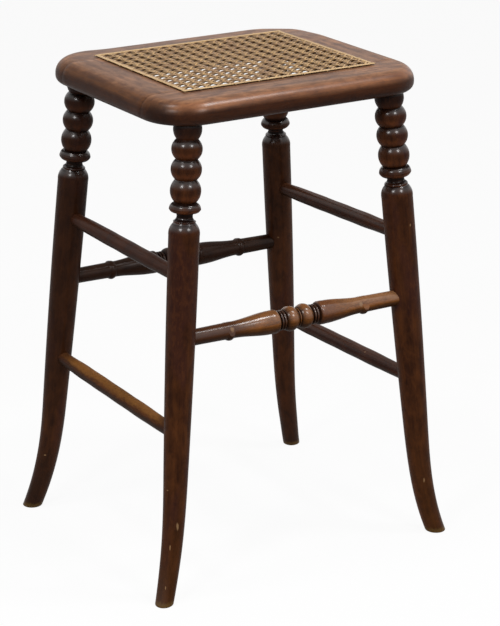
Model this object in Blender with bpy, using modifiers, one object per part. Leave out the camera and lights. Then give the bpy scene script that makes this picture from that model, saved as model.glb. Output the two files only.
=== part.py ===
"""A tall caned stool: a round-cornered seat frame with a caned panel, on four turned legs that splay and
sweep out at the foot, held by two turned stretchers and four plain rungs.

Metres, +Z up. The origin is on the floor under the middle of the seat, and the front is towards -Y.
"""

from math import atan, cos, hypot, pi, radians, sin

import bmesh
import bpy
from mathutils import Matrix, Vector

# Clearances
GAP = 0.0003  # between two pieces that touch
OVERRUN = 0.004  # how far a cut runs past the face it leaves by

# Seat frame: two long rails with the round corners, and two side rails between them
SEAT_TOP = 0.630
SEAT_LENGTH = 0.3865
SEAT_WIDTH = 0.323
SEAT_THICKNESS = 0.0303
SEAT_CORNER_RADIUS = 0.060
TOP_EDGE_RADIUS = 0.019
BOTTOM_EDGE_RADIUS = 0.009
LONG_RAIL_WIDTH = 0.0626
SIDE_RAIL_WIDTH = 0.06635

# Dowels across the four joints of the frame
DOWEL_RADIUS = 0.004
DOWEL_LENGTH = 0.030
DOWEL_OUTER_INSET = 0.0205  # from the end of the seat to the outer dowel's axis
DOWEL_SPACING = 0.022

# Cane: holes drilled in the rails, the woven panel, and the binding over the holes
CANE_COLUMNS = 16
CANE_ROWS = 14
CANE_HOLE_INSET = 0.010  # from the opening's edge to the row of holes
CANE_HOLE_RADIUS = 0.0024
CANE_STRAND = 0.0029
CANE_PAIR_GAP = 0.0004
CANE_SIDE_MARGIN = 0.0033  # from the side holes to the last pair of strands
CANE_FRONT_MARGIN = 0.0011
PANEL_THICKNESS = 0.0012
PANEL_EDGE = 0.0022  # how far the panel runs past the row of holes
BINDING_WIDTH = 0.007
BINDING_THICKNESS = 0.0012
BINDING_ROUND = 0.0004
PEG_LENGTH = 0.026

# Leg axis: where it meets the seat, how it splays, and how its foot sweeps out
LEG_END_INSET = 0.0459  # from the end of the seat to the leg's axis, at the underside
LEG_SIDE_INSET = 0.0292
SPLAY_X_SHARE = 0.080  # sideways travel, as a share of the height that the leg drops
SPLAY_Y_SHARE = 0.060
SWEEP_X = 0.016
SWEEP_Y = 0.0105
SWEEP_HEIGHT = 0.150
SWEEP_POWER = 2.4

# Leg turning, from the seat down
TENON_RADIUS = 0.011
TENON_LENGTH = 0.020
WAIST_RADIUS = 0.0139
RING_HEIGHT = 0.0197
RING_RADIUS = 0.018
UPPER_BALL_HEIGHT = 0.0243
MIDDLE_BALL_HEIGHT = 0.0248
LOWER_BALL_HEIGHT = 0.0273
BALL_RADIUS = 0.0194
DISC_RADIUS = 0.0196
DISC_RISE = 0.008
DISC_SWELL = 0.0012
DISC_EDGE = 0.0036
DISC_EDGE_SWELL = 0.0008
DISC_UNDERCUT = 0.0028
NECK_TOP_RADIUS = 0.0122
NECK_HEIGHT = 0.0078
NECK_HOLLOW = 0.0026
NECK_FOOT_RADIUS = 0.0136
COLLAR_RADIUS = 0.0144
COLLAR_HEIGHT = 0.0024
SHOULDER_HEIGHT = 0.0125
SHOULDER_SWELL = 0.0022
SHOULDER_RADIUS = 0.01955
FOOT_RADIUS = 0.0119

# Stretchers and rungs: the height of the middle, and how much the second end lies above the first.
# The front and back ones run from left to right, the side ones from back to front.
FRONT_HEIGHT = 0.3312
FRONT_RISE = -0.0039
BACK_HEIGHT = 0.3266
BACK_RISE = -0.0029
LEFT_UPPER_HEIGHT = 0.4117
LEFT_UPPER_RISE = -0.0032
LEFT_LOWER_HEIGHT = 0.2161
LEFT_LOWER_RISE = -0.0063
RIGHT_UPPER_HEIGHT = 0.4089
RIGHT_UPPER_RISE = 0.0088
RIGHT_LOWER_HEIGHT = 0.2145
RIGHT_LOWER_RISE = 0.0057
END_PAST_AXIS = 0.0015  # how far an end runs past the leg's axis

# Turned stretcher, from its middle outwards
BOBBIN_LENGTH = 0.0172
BOBBIN_RADIUS = 0.01575
BOBBIN_END_RADIUS = 0.0128
FILLET_LENGTH = 0.0028
FILLET_RADIUS = 0.0131
GROOVE_LENGTH = 0.0036
GROOVE_RADIUS = 0.0103
CUP_START_RADIUS = 0.0118
CUP_LENGTH = 0.0100
CUP_SWELL = 0.0014
CUP_RADIUS = 0.0149
STEM_LENGTH = 0.0625
STEM_RADIUS = 0.0101
BEAD_LENGTH = 0.009
BEAD_RADIUS = 0.0123
STRETCHER_END_RADIUS = 0.0094
STRETCHER_END_LENGTH = 0.030  # the straight end, which goes into the leg

# Plain rung
RUNG_RADIUS = 0.0097
RUNG_END_RADIUS = 0.0088
RUNG_END_LENGTH = 0.030
RUNG_TAPER_LENGTH = 0.045

# How finely round shapes are cut
LEG_SIDES = 12
RUNG_SIDES = 12
DOWEL_SIDES = 8
HOLE_SIDES = 6
CORNER_STEPS = 6
TOP_EDGE_STEPS = 4
BOTTOM_EDGE_STEPS = 2
ARC_STEPS = 4
SMALL_ARC_STEPS = 2
TAPER_STEPS = 10
STEM_STEPS = 5
MERGE_DISTANCE = 0.00001
SMOOTH_ANGLE = radians(40)

# Places that follow from the sizes
SEAT_UNDERSIDE = SEAT_TOP - SEAT_THICKNESS
OPENING_X = SEAT_LENGTH / 2 - SIDE_RAIL_WIDTH
OPENING_Y = SEAT_WIDTH / 2 - LONG_RAIL_WIDTH
HOLE_LINE_X = OPENING_X + CANE_HOLE_INSET
HOLE_LINE_Y = OPENING_Y + CANE_HOLE_INSET
CANE_PITCH_X = 2 * (HOLE_LINE_X - CANE_SIDE_MARGIN) / CANE_COLUMNS
CANE_PITCH_Y = 2 * (HOLE_LINE_Y - CANE_FRONT_MARGIN) / CANE_ROWS
LEG_X = SEAT_LENGTH / 2 - LEG_END_INSET
LEG_Y = SEAT_WIDTH / 2 - LEG_SIDE_INSET

# Sides of the seat, as signs of X and Y
LEGS = {
    "leg_front_left": (-1, -1),
    "leg_front_right": (1, -1),
    "leg_back_left": (-1, 1),
    "leg_back_right": (1, 1),
}
STRETCHERS = {
    "stretcher_front": ("leg_front_left", "leg_front_right", FRONT_HEIGHT, FRONT_RISE),
    "stretcher_back": ("leg_back_left", "leg_back_right", BACK_HEIGHT, BACK_RISE),
}
RUNGS = {
    "rung_left_upper": ("leg_back_left", "leg_front_left", LEFT_UPPER_HEIGHT, LEFT_UPPER_RISE),
    "rung_left_lower": ("leg_back_left", "leg_front_left", LEFT_LOWER_HEIGHT, LEFT_LOWER_RISE),
    "rung_right_upper": ("leg_back_right", "leg_front_right", RIGHT_UPPER_HEIGHT, RIGHT_UPPER_RISE),
    "rung_right_lower": ("leg_back_right", "leg_front_right", RIGHT_LOWER_HEIGHT, RIGHT_LOWER_RISE),
}

# Finishes: colour and roughness
SEAT_FINISH = ((0.120, 0.052, 0.027), 0.42)
LEG_FINISH = ((0.036, 0.013, 0.009), 0.28)
STRETCHER_FINISH = ((0.105, 0.040, 0.016), 0.35)
RUNG_FINISH = ((0.060, 0.020, 0.012), 0.38)
DOWEL_FINISH = ((0.420, 0.280, 0.150), 0.70)
CANE_FINISH = ((0.400, 0.275, 0.150), 0.55)
BINDING_FINISH = ((0.560, 0.390, 0.220), 0.45)


# Scene and objects


def new_collection(name):
    """A new collection of this name in the scene."""
    collection = bpy.data.collections.new(name)
    bpy.context.scene.collection.children.link(collection)
    return collection


def add_object(name, data, finish):
    """A visible piece with a material of its own."""
    obj = bpy.data.objects.new(name, data)
    PARTS.objects.link(obj)
    colour, roughness = finish
    material = bpy.data.materials.new(name)
    material.use_nodes = True
    shader = material.node_tree.nodes["Principled BSDF"]
    shader.inputs["Base Color"].default_value = (*colour, 1)
    shader.inputs["Roughness"].default_value = roughness
    shader.inputs["Metallic"].default_value = 0
    data.materials.append(material)
    return obj


def add_cutter(name, data):
    """A hidden helper, shown as wire."""
    obj = bpy.data.objects.new(name, data)
    CUTTERS.objects.link(obj)
    obj.hide_render = True
    obj.display_type = "WIRE"
    return obj


def combine(obj, helper, operation):
    modifier = obj.modifiers.new(f"{operation.lower()} {helper.name}", "BOOLEAN")
    modifier.operation = operation
    modifier.solver = "EXACT"
    modifier.object = helper


def smooth(mesh):
    mesh.shade_smooth()
    mesh.set_sharp_from_angle(angle=SMOOTH_ANGLE)


# Shapes


def mesh_of(bm, name):
    mesh = bpy.data.meshes.new(name)
    bm.to_mesh(mesh)
    bm.free()
    return mesh


def along(start, end):
    """The matrix that puts local Z on the line from start to end, with the origin half way."""
    start, end = Vector(start), Vector(end)
    turn = (end - start).to_track_quat("Z", "Y").to_matrix().to_4x4()
    return Matrix.Translation((start + end) / 2) @ turn


def add_rod(bm, start, end, radius, sides):
    """A cylinder from start to end, added to bm."""
    bmesh.ops.create_cone(
        bm,
        cap_ends=True,
        segments=sides,
        radius1=radius,
        radius2=radius,
        depth=(Vector(end) - Vector(start)).length,
        matrix=along(start, end),
    )


def add_box(bm, low, high):
    """A box between two corners, added to bm."""
    low, high = Vector(low), Vector(high)
    size = Matrix.Diagonal((*(high - low), 1))
    bmesh.ops.create_cube(bm, size=1, matrix=Matrix.Translation((low + high) / 2) @ size)


def box_mesh(name, low, high):
    bm = bmesh.new()
    add_box(bm, low, high)
    return mesh_of(bm, name)


def rod_mesh(name, start, end, radius, sides):
    bm = bmesh.new()
    add_rod(bm, start, end, radius, sides)
    return mesh_of(bm, name)


def arc(start, end, swell, steps):
    """The points after start, up to end, on an arc that stands out from their chord by swell.

    Points are (radius, height), and run downwards, so that a positive swell is away from the axis."""
    start, end = Vector(start), Vector(end)
    chord = end - start
    half = chord.length / 2
    forward = chord.normalized()
    outward = Vector((-forward.y, forward.x))
    radius = (half**2 + swell**2) / (2 * swell)
    centre = (start + end) / 2 + outward * (swell - radius)
    widest = 2 * atan(swell / half)
    angles = [widest * (2 * step / steps - 1) for step in range(1, steps + 1)]
    return [centre + radius * (outward * cos(angle) + forward * sin(angle)) for angle in angles]


def turn_to(points, radius, drop, swell=None, steps=ARC_STEPS):
    """Takes a profile on to a radius that lies this far below its last point, straight or on an arc."""
    end = Vector((radius, points[-1].y - drop))
    points.extend(arc(points[-1], end, swell, steps) if swell else [end])


def turned_mesh(name, profile, sides):
    """The solid that a profile of (radius, height) points, from top to bottom, makes on a lathe."""
    top, bottom = profile[0][1], profile[-1][1]
    points = [(0, 0, top), *((radius, 0, height) for radius, height in profile), (0, 0, bottom)]
    edges = [(first, first + 1) for first in range(len(points) - 1)]
    outline = bpy.data.meshes.new(f"{name} outline")
    outline.from_pydata(points, edges, [])
    lathe = add_cutter(f"{name} outline", outline)
    screw = lathe.modifiers.new("turning", "SCREW")
    screw.axis = "Z"
    screw.angle = 2 * pi
    screw.steps = sides
    screw.render_steps = sides
    screw.use_merge_vertices = True
    screw.merge_threshold = MERGE_DISTANCE
    bpy.context.view_layer.update()
    graph = bpy.context.evaluated_depsgraph_get()
    mesh = bpy.data.meshes.new_from_object(lathe.evaluated_get(graph))
    mesh.name = name
    bpy.data.objects.remove(lathe)
    return mesh


# Seat frame


def leg_point(signs, height):
    """Where a leg's axis passes at a height."""
    drop = SEAT_UNDERSIDE - height
    sweep = max(0, 1 - height / SWEEP_HEIGHT) ** SWEEP_POWER
    x = LEG_X + SPLAY_X_SHARE * drop + SWEEP_X * sweep
    y = LEG_Y + SPLAY_Y_SHARE * drop + SWEEP_Y * sweep
    return Vector((signs[0] * x, signs[1] * y, height))


def seat_slab():
    """The whole seat as one slab with round corners and edges. Each rail is a region of it."""
    bm = bmesh.new()
    corner = Vector((SEAT_LENGTH / 2, SEAT_WIDTH / 2))
    add_box(bm, (*-corner, SEAT_UNDERSIDE), (*corner, SEAT_TOP))

    def round_edges(edges, radius, steps):
        bmesh.ops.bevel(
            bm, geom=edges, offset=radius, segments=steps, profile=0.5, affect="EDGES"
        )

    def edges_at(height):
        """The edges whose two ends lie at this height."""
        ends = {vert for vert in bm.verts if abs(vert.co.z - height) < MERGE_DISTANCE}
        return [edge for edge in bm.edges if ends.issuperset(edge.verts)]

    upright = [edge for edge in bm.edges if edge.verts[0].co.xy == edge.verts[1].co.xy]
    round_edges(upright, SEAT_CORNER_RADIUS, CORNER_STEPS)
    round_edges(edges_at(SEAT_TOP), TOP_EDGE_RADIUS, TOP_EDGE_STEPS)
    round_edges(edges_at(SEAT_UNDERSIDE), BOTTOM_EDGE_RADIUS, BOTTOM_EDGE_STEPS)
    return mesh_of(bm, "seat slab")


def dowel_ends(side, end, x):
    """A dowel's two ends, at one side (-1 left, 1 right) and one end (-1 front, 1 back) of the frame."""
    height = (SEAT_TOP + SEAT_UNDERSIDE) / 2
    reach = DOWEL_LENGTH / 2
    return (
        Vector((side * x, end * OPENING_Y - reach, height)),
        Vector((side * x, end * OPENING_Y + reach, height)),
    )


def dowel_places():
    outer = SEAT_LENGTH / 2 - DOWEL_OUTER_INSET
    return {"outer": outer, "inner": outer - DOWEL_SPACING}


def drill_dowels(bm, side, end):
    """Dowel holes of one joint, added to bm."""
    spare = Vector((0, GAP, 0))
    for x in dowel_places().values():
        front, back = dowel_ends(side, end, x)
        add_rod(bm, front - spare, back + spare, DOWEL_RADIUS + GAP, DOWEL_SIDES)


def drill_cane_hole(bm, x, y):
    low = Vector((x, y, SEAT_UNDERSIDE - OVERRUN))
    high = Vector((x, y, SEAT_TOP + OVERRUN))
    add_rod(bm, low, high, CANE_HOLE_RADIUS, HOLE_SIDES)


def drill_leg_socket(bm, signs):
    low = leg_point(signs, SEAT_UNDERSIDE - OVERRUN)
    high = leg_point(signs, SEAT_UNDERSIDE + TENON_LENGTH + GAP)
    add_rod(bm, low, high, TENON_RADIUS + GAP, RUNG_SIDES)


def add_rail(name, low, high, drilling):
    """A rail: the region of the seat slab between two corners, less its holes."""
    rail = add_object(name, seat_slab(), SEAT_FINISH)
    smooth(rail.data)
    combine(rail, add_cutter(f"{name} region", box_mesh(name, low, high)), "INTERSECT")
    combine(rail, add_cutter(f"{name} holes", mesh_of(drilling, name)), "DIFFERENCE")


def add_long_rail(name, end):
    outer_x = SEAT_LENGTH / 2 + OVERRUN
    outer_y = SEAT_WIDTH / 2 + OVERRUN
    near, far = sorted((end * OPENING_Y, end * outer_y))
    drilling = bmesh.new()
    for side in (-1, 1):
        drill_dowels(drilling, side, end)
        drill_leg_socket(drilling, (side, end))
        drill_cane_hole(drilling, side * HOLE_LINE_X, end * HOLE_LINE_Y)
    inner_holes = CANE_COLUMNS // 2 - 1
    for hole in range(-inner_holes, inner_holes + 1):
        drill_cane_hole(drilling, hole * CANE_PITCH_X, end * HOLE_LINE_Y)
    low = (-outer_x, near, SEAT_UNDERSIDE - OVERRUN)
    high = (outer_x, far, SEAT_TOP + OVERRUN)
    add_rail(name, low, high, drilling)


def add_side_rail(name, side):
    near, far = sorted((side * OPENING_X, side * (SEAT_LENGTH / 2 + OVERRUN)))
    reach = OPENING_Y - GAP
    drilling = bmesh.new()
    for end in (-1, 1):
        drill_dowels(drilling, side, end)
    inner_holes = CANE_ROWS // 2 - 1
    for hole in range(-inner_holes, inner_holes + 1):
        drill_cane_hole(drilling, side * HOLE_LINE_X, hole * CANE_PITCH_Y)
    low = (near, -reach, SEAT_UNDERSIDE - OVERRUN)
    high = (far, reach, SEAT_TOP + OVERRUN)
    add_rail(name, low, high, drilling)


def add_dowels():
    for end, end_name in ((-1, "front"), (1, "back")):
        for side, side_name in ((-1, "left"), (1, "right")):
            for place, x in dowel_places().items():
                name = f"dowel_{end_name}_{side_name}_{place}"
                front, back = dowel_ends(side, end, x)
                mesh = rod_mesh(name, front, back, DOWEL_RADIUS, DOWEL_SIDES)
                smooth(mesh)
                add_object(name, mesh, DOWEL_FINISH)


# Cane


def add_outline(curve, points):
    spline = curve.splines.new("POLY")
    spline.points.add(len(points) - 1)
    for point, (x, y) in zip(spline.points, points):
        point.co = (x, y, 0, 1)
    spline.use_cyclic_u = True


def cane_hole_outline():
    """One open hole of the weave: a box between the pairs of strands, its corners cut by the diagonals."""
    band = 2 * CANE_STRAND + CANE_PAIR_GAP
    cell_x, cell_y = CANE_PITCH_X / 2, CANE_PITCH_Y / 2
    wide, deep = cell_x - band / 2, cell_y - band / 2
    diagonal = cell_x * cell_y / hypot(cell_x, cell_y)
    cut = 1 - CANE_STRAND / 2 / diagonal
    flat_x = cell_x * (cut - deep / cell_y)
    flat_y = cell_y * (cut - wide / cell_x)
    quarter = [(wide, flat_y), (flat_x, deep)]
    half = quarter + [(-x, y) for x, y in reversed(quarter)]
    return half + [(-x, -y) for x, y in half]


def add_panel():
    """The woven panel as a flat net."""
    curve = bpy.data.curves.new("cane_panel", "CURVE")
    curve.dimensions = "2D"
    curve.fill_mode = "BOTH"
    curve.extrude = PANEL_THICKNESS / 2
    x, y = HOLE_LINE_X + PANEL_EDGE, HOLE_LINE_Y + PANEL_EDGE
    add_outline(curve, [(x, y), (-x, y), (-x, -y), (x, -y)])
    hole = cane_hole_outline()
    for column in range(CANE_COLUMNS):
        centre_x = CANE_PITCH_X * (column - (CANE_COLUMNS - 1) / 2)
        for row in range(CANE_ROWS):
            centre_y = CANE_PITCH_Y * (row - (CANE_ROWS - 1) / 2)
            add_outline(curve, [(centre_x + dx, centre_y + dy) for dx, dy in hole])
    panel = add_object("cane_panel", curve, CANE_FINISH)
    panel.location.z = SEAT_TOP + GAP + PANEL_THICKNESS / 2


def add_binding(name, centre, half_x, half_y):
    """A flat strip of cane that covers a row of holes."""
    low_z = SEAT_TOP + GAP + PANEL_THICKNESS + GAP
    low = (centre[0] - half_x, centre[1] - half_y, low_z)
    high = (centre[0] + half_x, centre[1] + half_y, low_z + BINDING_THICKNESS)
    strip = add_object(name, box_mesh(name, low, high), BINDING_FINISH)
    bevel = strip.modifiers.new("worn edges", "BEVEL")
    bevel.width = BINDING_ROUND
    bevel.segments = 1


def add_bindings():
    half = BINDING_WIDTH / 2
    full_x = HOLE_LINE_X + half
    between_y = HOLE_LINE_Y - half - GAP
    add_binding("binding_front", (0, -HOLE_LINE_Y), full_x, half)
    add_binding("binding_back", (0, HOLE_LINE_Y), full_x, half)
    add_binding("binding_left", (-HOLE_LINE_X, 0), half, between_y)
    add_binding("binding_right", (HOLE_LINE_X, 0), half, between_y)


def add_pegs():
    """A peg in each corner hole, which holds the ends of the binding."""
    for leg, (side, end) in LEGS.items():
        name = leg.replace("leg", "peg")
        high = Vector((side * HOLE_LINE_X, end * HOLE_LINE_Y, SEAT_TOP))
        low = high - Vector((0, 0, PEG_LENGTH))
        mesh = rod_mesh(name, low, high, CANE_HOLE_RADIUS - GAP, HOLE_SIDES)
        add_object(name, mesh, DOWEL_FINISH)


# Legs


def leg_profile():
    """(radius, height) from above the seat's underside, where the leg is cut, to below the floor."""
    height = SEAT_UNDERSIDE + OVERRUN
    points = [Vector((WAIST_RADIUS, height))]

    turn_to(points, WAIST_RADIUS, RING_HEIGHT + OVERRUN, RING_RADIUS - WAIST_RADIUS)
    for ball_height in (UPPER_BALL_HEIGHT, MIDDLE_BALL_HEIGHT, LOWER_BALL_HEIGHT):
        turn_to(points, WAIST_RADIUS, ball_height, BALL_RADIUS - WAIST_RADIUS)
    turn_to(points, DISC_RADIUS, DISC_RISE, DISC_SWELL, SMALL_ARC_STEPS)
    turn_to(points, DISC_RADIUS - DISC_EDGE_SWELL, DISC_EDGE, DISC_EDGE_SWELL, SMALL_ARC_STEPS)
    turn_to(points, NECK_TOP_RADIUS, DISC_UNDERCUT)
    turn_to(points, NECK_FOOT_RADIUS, NECK_HEIGHT, -NECK_HOLLOW)
    turn_to(points, COLLAR_RADIUS, COLLAR_HEIGHT / 2)
    turn_to(points, COLLAR_RADIUS, COLLAR_HEIGHT / 2)
    turn_to(points, SHOULDER_RADIUS, SHOULDER_HEIGHT, SHOULDER_SWELL)
    shoulder = points[-1].y
    for step in range(1, TAPER_STEPS + 1):
        height = shoulder - (shoulder + 2 * OVERRUN) * step / TAPER_STEPS
        share = sin(pi / 2 * height / shoulder)
        radius = FOOT_RADIUS + (SHOULDER_RADIUS - FOOT_RADIUS) * share
        points.append(Vector((radius, height)))
    return points


def bend_onto_axis(mesh, signs):
    """Moves a straight turning onto the leg's axis, with each ring of it square to the axis."""
    for vertex in mesh.vertices:
        height = vertex.co.z
        sweep = max(0, 1 - height / SWEEP_HEIGHT) ** (SWEEP_POWER - 1) * SWEEP_POWER / SWEEP_HEIGHT
        slope_x = signs[0] * (SPLAY_X_SHARE + SWEEP_X * sweep)
        slope_y = signs[1] * (SPLAY_Y_SHARE + SWEEP_Y * sweep)
        upward = Vector((-slope_x, -slope_y, 1)).normalized()
        across = Vector((upward.z, 0, -upward.x)).normalized()
        aside = upward.cross(across)
        vertex.co = leg_point(signs, height) + across * vertex.co.x + aside * vertex.co.y


def add_leg(name, signs, sockets):
    mesh = turned_mesh(name, leg_profile(), LEG_SIDES)
    bend_onto_axis(mesh, signs)
    smooth(mesh)
    leg = add_object(name, mesh, LEG_FINISH)
    reach = SEAT_LENGTH
    room = box_mesh(name, (-reach, -reach, 0), (reach, reach, SEAT_UNDERSIDE - GAP))
    combine(leg, add_cutter(f"{name} room", room), "INTERSECT")
    low = leg_point(signs, SEAT_UNDERSIDE - TENON_LENGTH / 2)
    high = leg_point(signs, SEAT_UNDERSIDE + TENON_LENGTH)
    tenon = rod_mesh(name, low, high, TENON_RADIUS, RUNG_SIDES)
    combine(leg, add_cutter(f"{name} tenon", tenon), "UNION")
    combine(leg, add_cutter(f"{name} sockets", mesh_of(sockets, name)), "DIFFERENCE")


# Stretchers and rungs


def mirrored(half):
    """A whole profile, from the half below its middle. A point in the middle itself is used once."""
    upper = [Vector((radius, -height)) for radius, height in reversed(half) if height]
    return upper + half


def stretcher_profile(length):
    points = [Vector((BOBBIN_END_RADIUS, 0))]

    turn_to(points, BOBBIN_END_RADIUS, BOBBIN_LENGTH, BOBBIN_RADIUS - BOBBIN_END_RADIUS)
    turn_to(points, FILLET_RADIUS, FILLET_LENGTH / 2)
    turn_to(points, FILLET_RADIUS, FILLET_LENGTH / 2)
    turn_to(points, GROOVE_RADIUS, GROOVE_LENGTH / 2)
    turn_to(points, GROOVE_RADIUS, GROOVE_LENGTH / 2)
    turn_to(points, CUP_START_RADIUS, 0)
    turn_to(points, CUP_RADIUS, CUP_LENGTH, CUP_SWELL)
    stem_top = points[-1].y
    for step in range(1, STEM_STEPS + 1):
        share = step / STEM_STEPS
        radius = STEM_RADIUS + (CUP_RADIUS - STEM_RADIUS) * (1 + cos(pi * share)) / 2
        points.append(Vector((radius, stem_top - STEM_LENGTH * share)))
    turn_to(points, STEM_RADIUS, BEAD_LENGTH, BEAD_RADIUS - STEM_RADIUS)
    points.append(Vector((STRETCHER_END_RADIUS, STRETCHER_END_LENGTH - length / 2)))
    points.append(Vector((STRETCHER_END_RADIUS, -length / 2)))
    return mirrored(points)


def rung_profile(length):
    end = -length / 2
    points = [
        Vector((RUNG_RADIUS, end + RUNG_END_LENGTH + RUNG_TAPER_LENGTH)),
        Vector((RUNG_END_RADIUS, end + RUNG_END_LENGTH)),
        Vector((RUNG_END_RADIUS, end)),
    ]
    return mirrored(points)


def stretcher_ends(spec):
    """Where a stretcher starts and ends: just past the axes of its two legs."""
    first, second, height, rise = spec
    start = leg_point(LEGS[first], height - rise / 2)
    end = leg_point(LEGS[second], height + rise / 2)
    past = (end - start).normalized() * END_PAST_AXIS
    return start - past, end + past


def add_between(name, spec, profile, end_radius, finish, sockets):
    """A turned piece between two legs, and the holes for its ends."""
    start, end = stretcher_ends(spec)
    length = (end - start).length
    mesh = turned_mesh(name, profile(length), RUNG_SIDES)
    smooth(mesh)
    piece = add_object(name, mesh, finish)
    piece.matrix_world = along(start, end)
    reach = SHOULDER_RADIUS + OVERRUN
    for leg, side in ((spec[0], -1), (spec[1], 1)):
        inner = side * (length / 2 + GAP)
        outer = side * (length / 2 - reach)
        hole = rod_mesh(
            name, (0, 0, min(inner, outer)), (0, 0, max(inner, outer)), end_radius + GAP, RUNG_SIDES
        )
        hole.transform(piece.matrix_world)
        sockets[leg].from_mesh(hole)
        bpy.data.meshes.remove(hole)


def build_stool():
    add_long_rail("seat_rail_front", -1)
    add_long_rail("seat_rail_back", 1)
    add_side_rail("seat_rail_left", -1)
    add_side_rail("seat_rail_right", 1)
    add_dowels()
    add_panel()
    add_bindings()
    add_pegs()
    sockets = {leg: bmesh.new() for leg in LEGS}
    for name, spec in STRETCHERS.items():
        add_between(
            name, spec, stretcher_profile, STRETCHER_END_RADIUS, STRETCHER_FINISH, sockets
        )
    for name, spec in RUNGS.items():
        add_between(name, spec, rung_profile, RUNG_END_RADIUS, RUNG_FINISH, sockets)
    for name, signs in LEGS.items():
        add_leg(name, signs, sockets[name])


for startup_object in list(bpy.data.objects):
    bpy.data.objects.remove(startup_object)
PARTS = new_collection("tall_caned_stool")
CUTTERS = new_collection("cutters")
CUTTERS.hide_render = True
build_stool()
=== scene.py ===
# %% [markdown]
# # A tall caned stool
#
# The real stool is a mahogany seat frame with a hand-woven cane panel, on four turned legs that splay and
# sweep out at the foot. Two turned stretchers and four plain rungs tie the legs together. The packed
# model already holds every piece at its true size and place, so this lesson only makes the surfaces that
# a visitor sees: finer turnings, worn edges, real woven strands, and finishes with grain and age. Each
# new piece is made where its plain solid stands, and only the legs then take a small stance of their own.

import random
from math import atan, atan2, cos, hypot, pi, radians, sin

import bpy
from mathutils import Matrix, Vector


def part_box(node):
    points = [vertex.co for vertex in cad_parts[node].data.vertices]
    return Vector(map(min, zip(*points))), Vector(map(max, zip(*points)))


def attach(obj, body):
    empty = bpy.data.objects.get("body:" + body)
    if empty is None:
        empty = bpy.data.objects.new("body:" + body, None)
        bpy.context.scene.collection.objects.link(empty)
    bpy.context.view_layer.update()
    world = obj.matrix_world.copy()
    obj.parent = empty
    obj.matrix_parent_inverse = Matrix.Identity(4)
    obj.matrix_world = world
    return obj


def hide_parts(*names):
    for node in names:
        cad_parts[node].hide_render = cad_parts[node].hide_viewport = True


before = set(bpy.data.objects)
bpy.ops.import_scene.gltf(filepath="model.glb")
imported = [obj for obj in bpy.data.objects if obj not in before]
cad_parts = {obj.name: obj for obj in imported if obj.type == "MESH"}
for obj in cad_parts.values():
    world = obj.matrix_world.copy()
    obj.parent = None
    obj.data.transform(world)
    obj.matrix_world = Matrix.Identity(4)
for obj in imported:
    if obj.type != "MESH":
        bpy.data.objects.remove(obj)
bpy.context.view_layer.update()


def rounded(box):
    return [tuple(round(number, 4) for number in corner) for corner in box]


# %% [markdown]
# ## The viewpoint
#
# The camera comes first. It stands in front and to the left of the stool, a little above the seat, and
# far away, so a long lens is used. The lens is given as the distance in pixels at which the picture's
# width and height hold, and worked into millimetres for Blender's 36 mm sensor.

# %% Place the camera
PICTURE_WIDTH, PICTURE_HEIGHT = 500, 626
LENS_IN_PIXELS = 2320.6
SENSOR = 36  # mm
CAMERA_PLACE = Vector((-1.5244, -2.4303, 1.3040))
HEADING = radians(32.487)  # from +Y towards +X
TILT_DOWN = radians(19.454)
ROLL = radians(0.312)
MIDDLE_PIXEL = (248.0, 314.15)  # where the lens points


def place_camera():
    turn = Matrix.Rotation(-HEADING, 4, "Z") @ Matrix.Rotation(pi / 2 - TILT_DOWN, 4, "X")
    turn = turn @ Matrix.Rotation(ROLL, 4, "Z")
    bpy.ops.object.camera_add(location=CAMERA_PLACE, rotation=turn.to_euler())
    camera = bpy.context.object
    camera.name = "camera"
    camera.data.lens = LENS_IN_PIXELS * SENSOR / PICTURE_HEIGHT
    camera.data.shift_x = (PICTURE_WIDTH / 2 - MIDDLE_PIXEL[0]) / PICTURE_HEIGHT
    camera.data.shift_y = (MIDDLE_PIXEL[1] - PICTURE_HEIGHT / 2) / PICTURE_HEIGHT
    bpy.context.scene.camera = camera
    print("lens", round(camera.data.lens, 2), "mm")


place_camera()

# %% [markdown]
# ## Working by hand, in code
#
# Pieces are shaped as in the edit window: something is selected, and an operator acts on it. Code has no
# mouse, so a selection is made by a test on the ends of each edge. A few small helpers keep the steps
# short. Each finished piece then rides on the frame, and the plain solids that it replaces are hidden.


# %% Helpers for whole pieces
def deselect():
    bpy.ops.object.select_all(action="DESELECT")


def pick(*pieces):
    """Selects these pieces and nothing else, with the first one active."""
    deselect()
    for piece in pieces:
        piece.select_set(True)
    bpy.context.view_layer.objects.active = pieces[0]


def named(name):
    """Names the object that was just made, and puts its place into its mesh."""
    piece = bpy.context.object
    piece.name = name
    piece.data.name = name
    bpy.ops.object.transform_apply(location=True, rotation=True, scale=True)
    return piece


def copy_of(piece, name):
    """A copy with a mesh of its own."""
    pick(piece)
    bpy.ops.object.duplicate()
    return named(name)


def joined(pieces, name):
    """The pieces as one, in the first of them."""
    pick(*pieces)
    bpy.ops.object.join()
    return named(name)


def modify(piece, kind, **settings):
    """Adds a modifier and applies it at once."""
    pick(piece)
    bpy.ops.object.modifier_add(type=kind)
    modifier = piece.modifiers[-1]
    for setting, value in settings.items():
        setattr(modifier, setting, value)
    bpy.ops.object.modifier_apply(modifier=modifier.name)


def smooth(piece, angle=35):
    """Hides the edges between faces that meet at less than this angle, in degrees."""
    pick(piece)
    bpy.ops.object.shade_smooth_by_angle(angle=radians(angle))


def install(piece, slot, *nodes):
    """Sets a finished piece on the frame, in place of its plain solids."""
    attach(piece, "root")
    if nodes:
        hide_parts(*nodes)
    print(piece.name, "has", len(piece.data.polygons), "faces")


# %% Helpers for edit mode
X, Y, Z = range(3)
SAME_PLACE = 0.00001


def edit(piece):
    """Opens one piece in edit mode, with all of it selected."""
    pick(piece)
    bpy.ops.object.mode_set(mode="EDIT")
    bpy.ops.mesh.select_all(action="SELECT")


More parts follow.
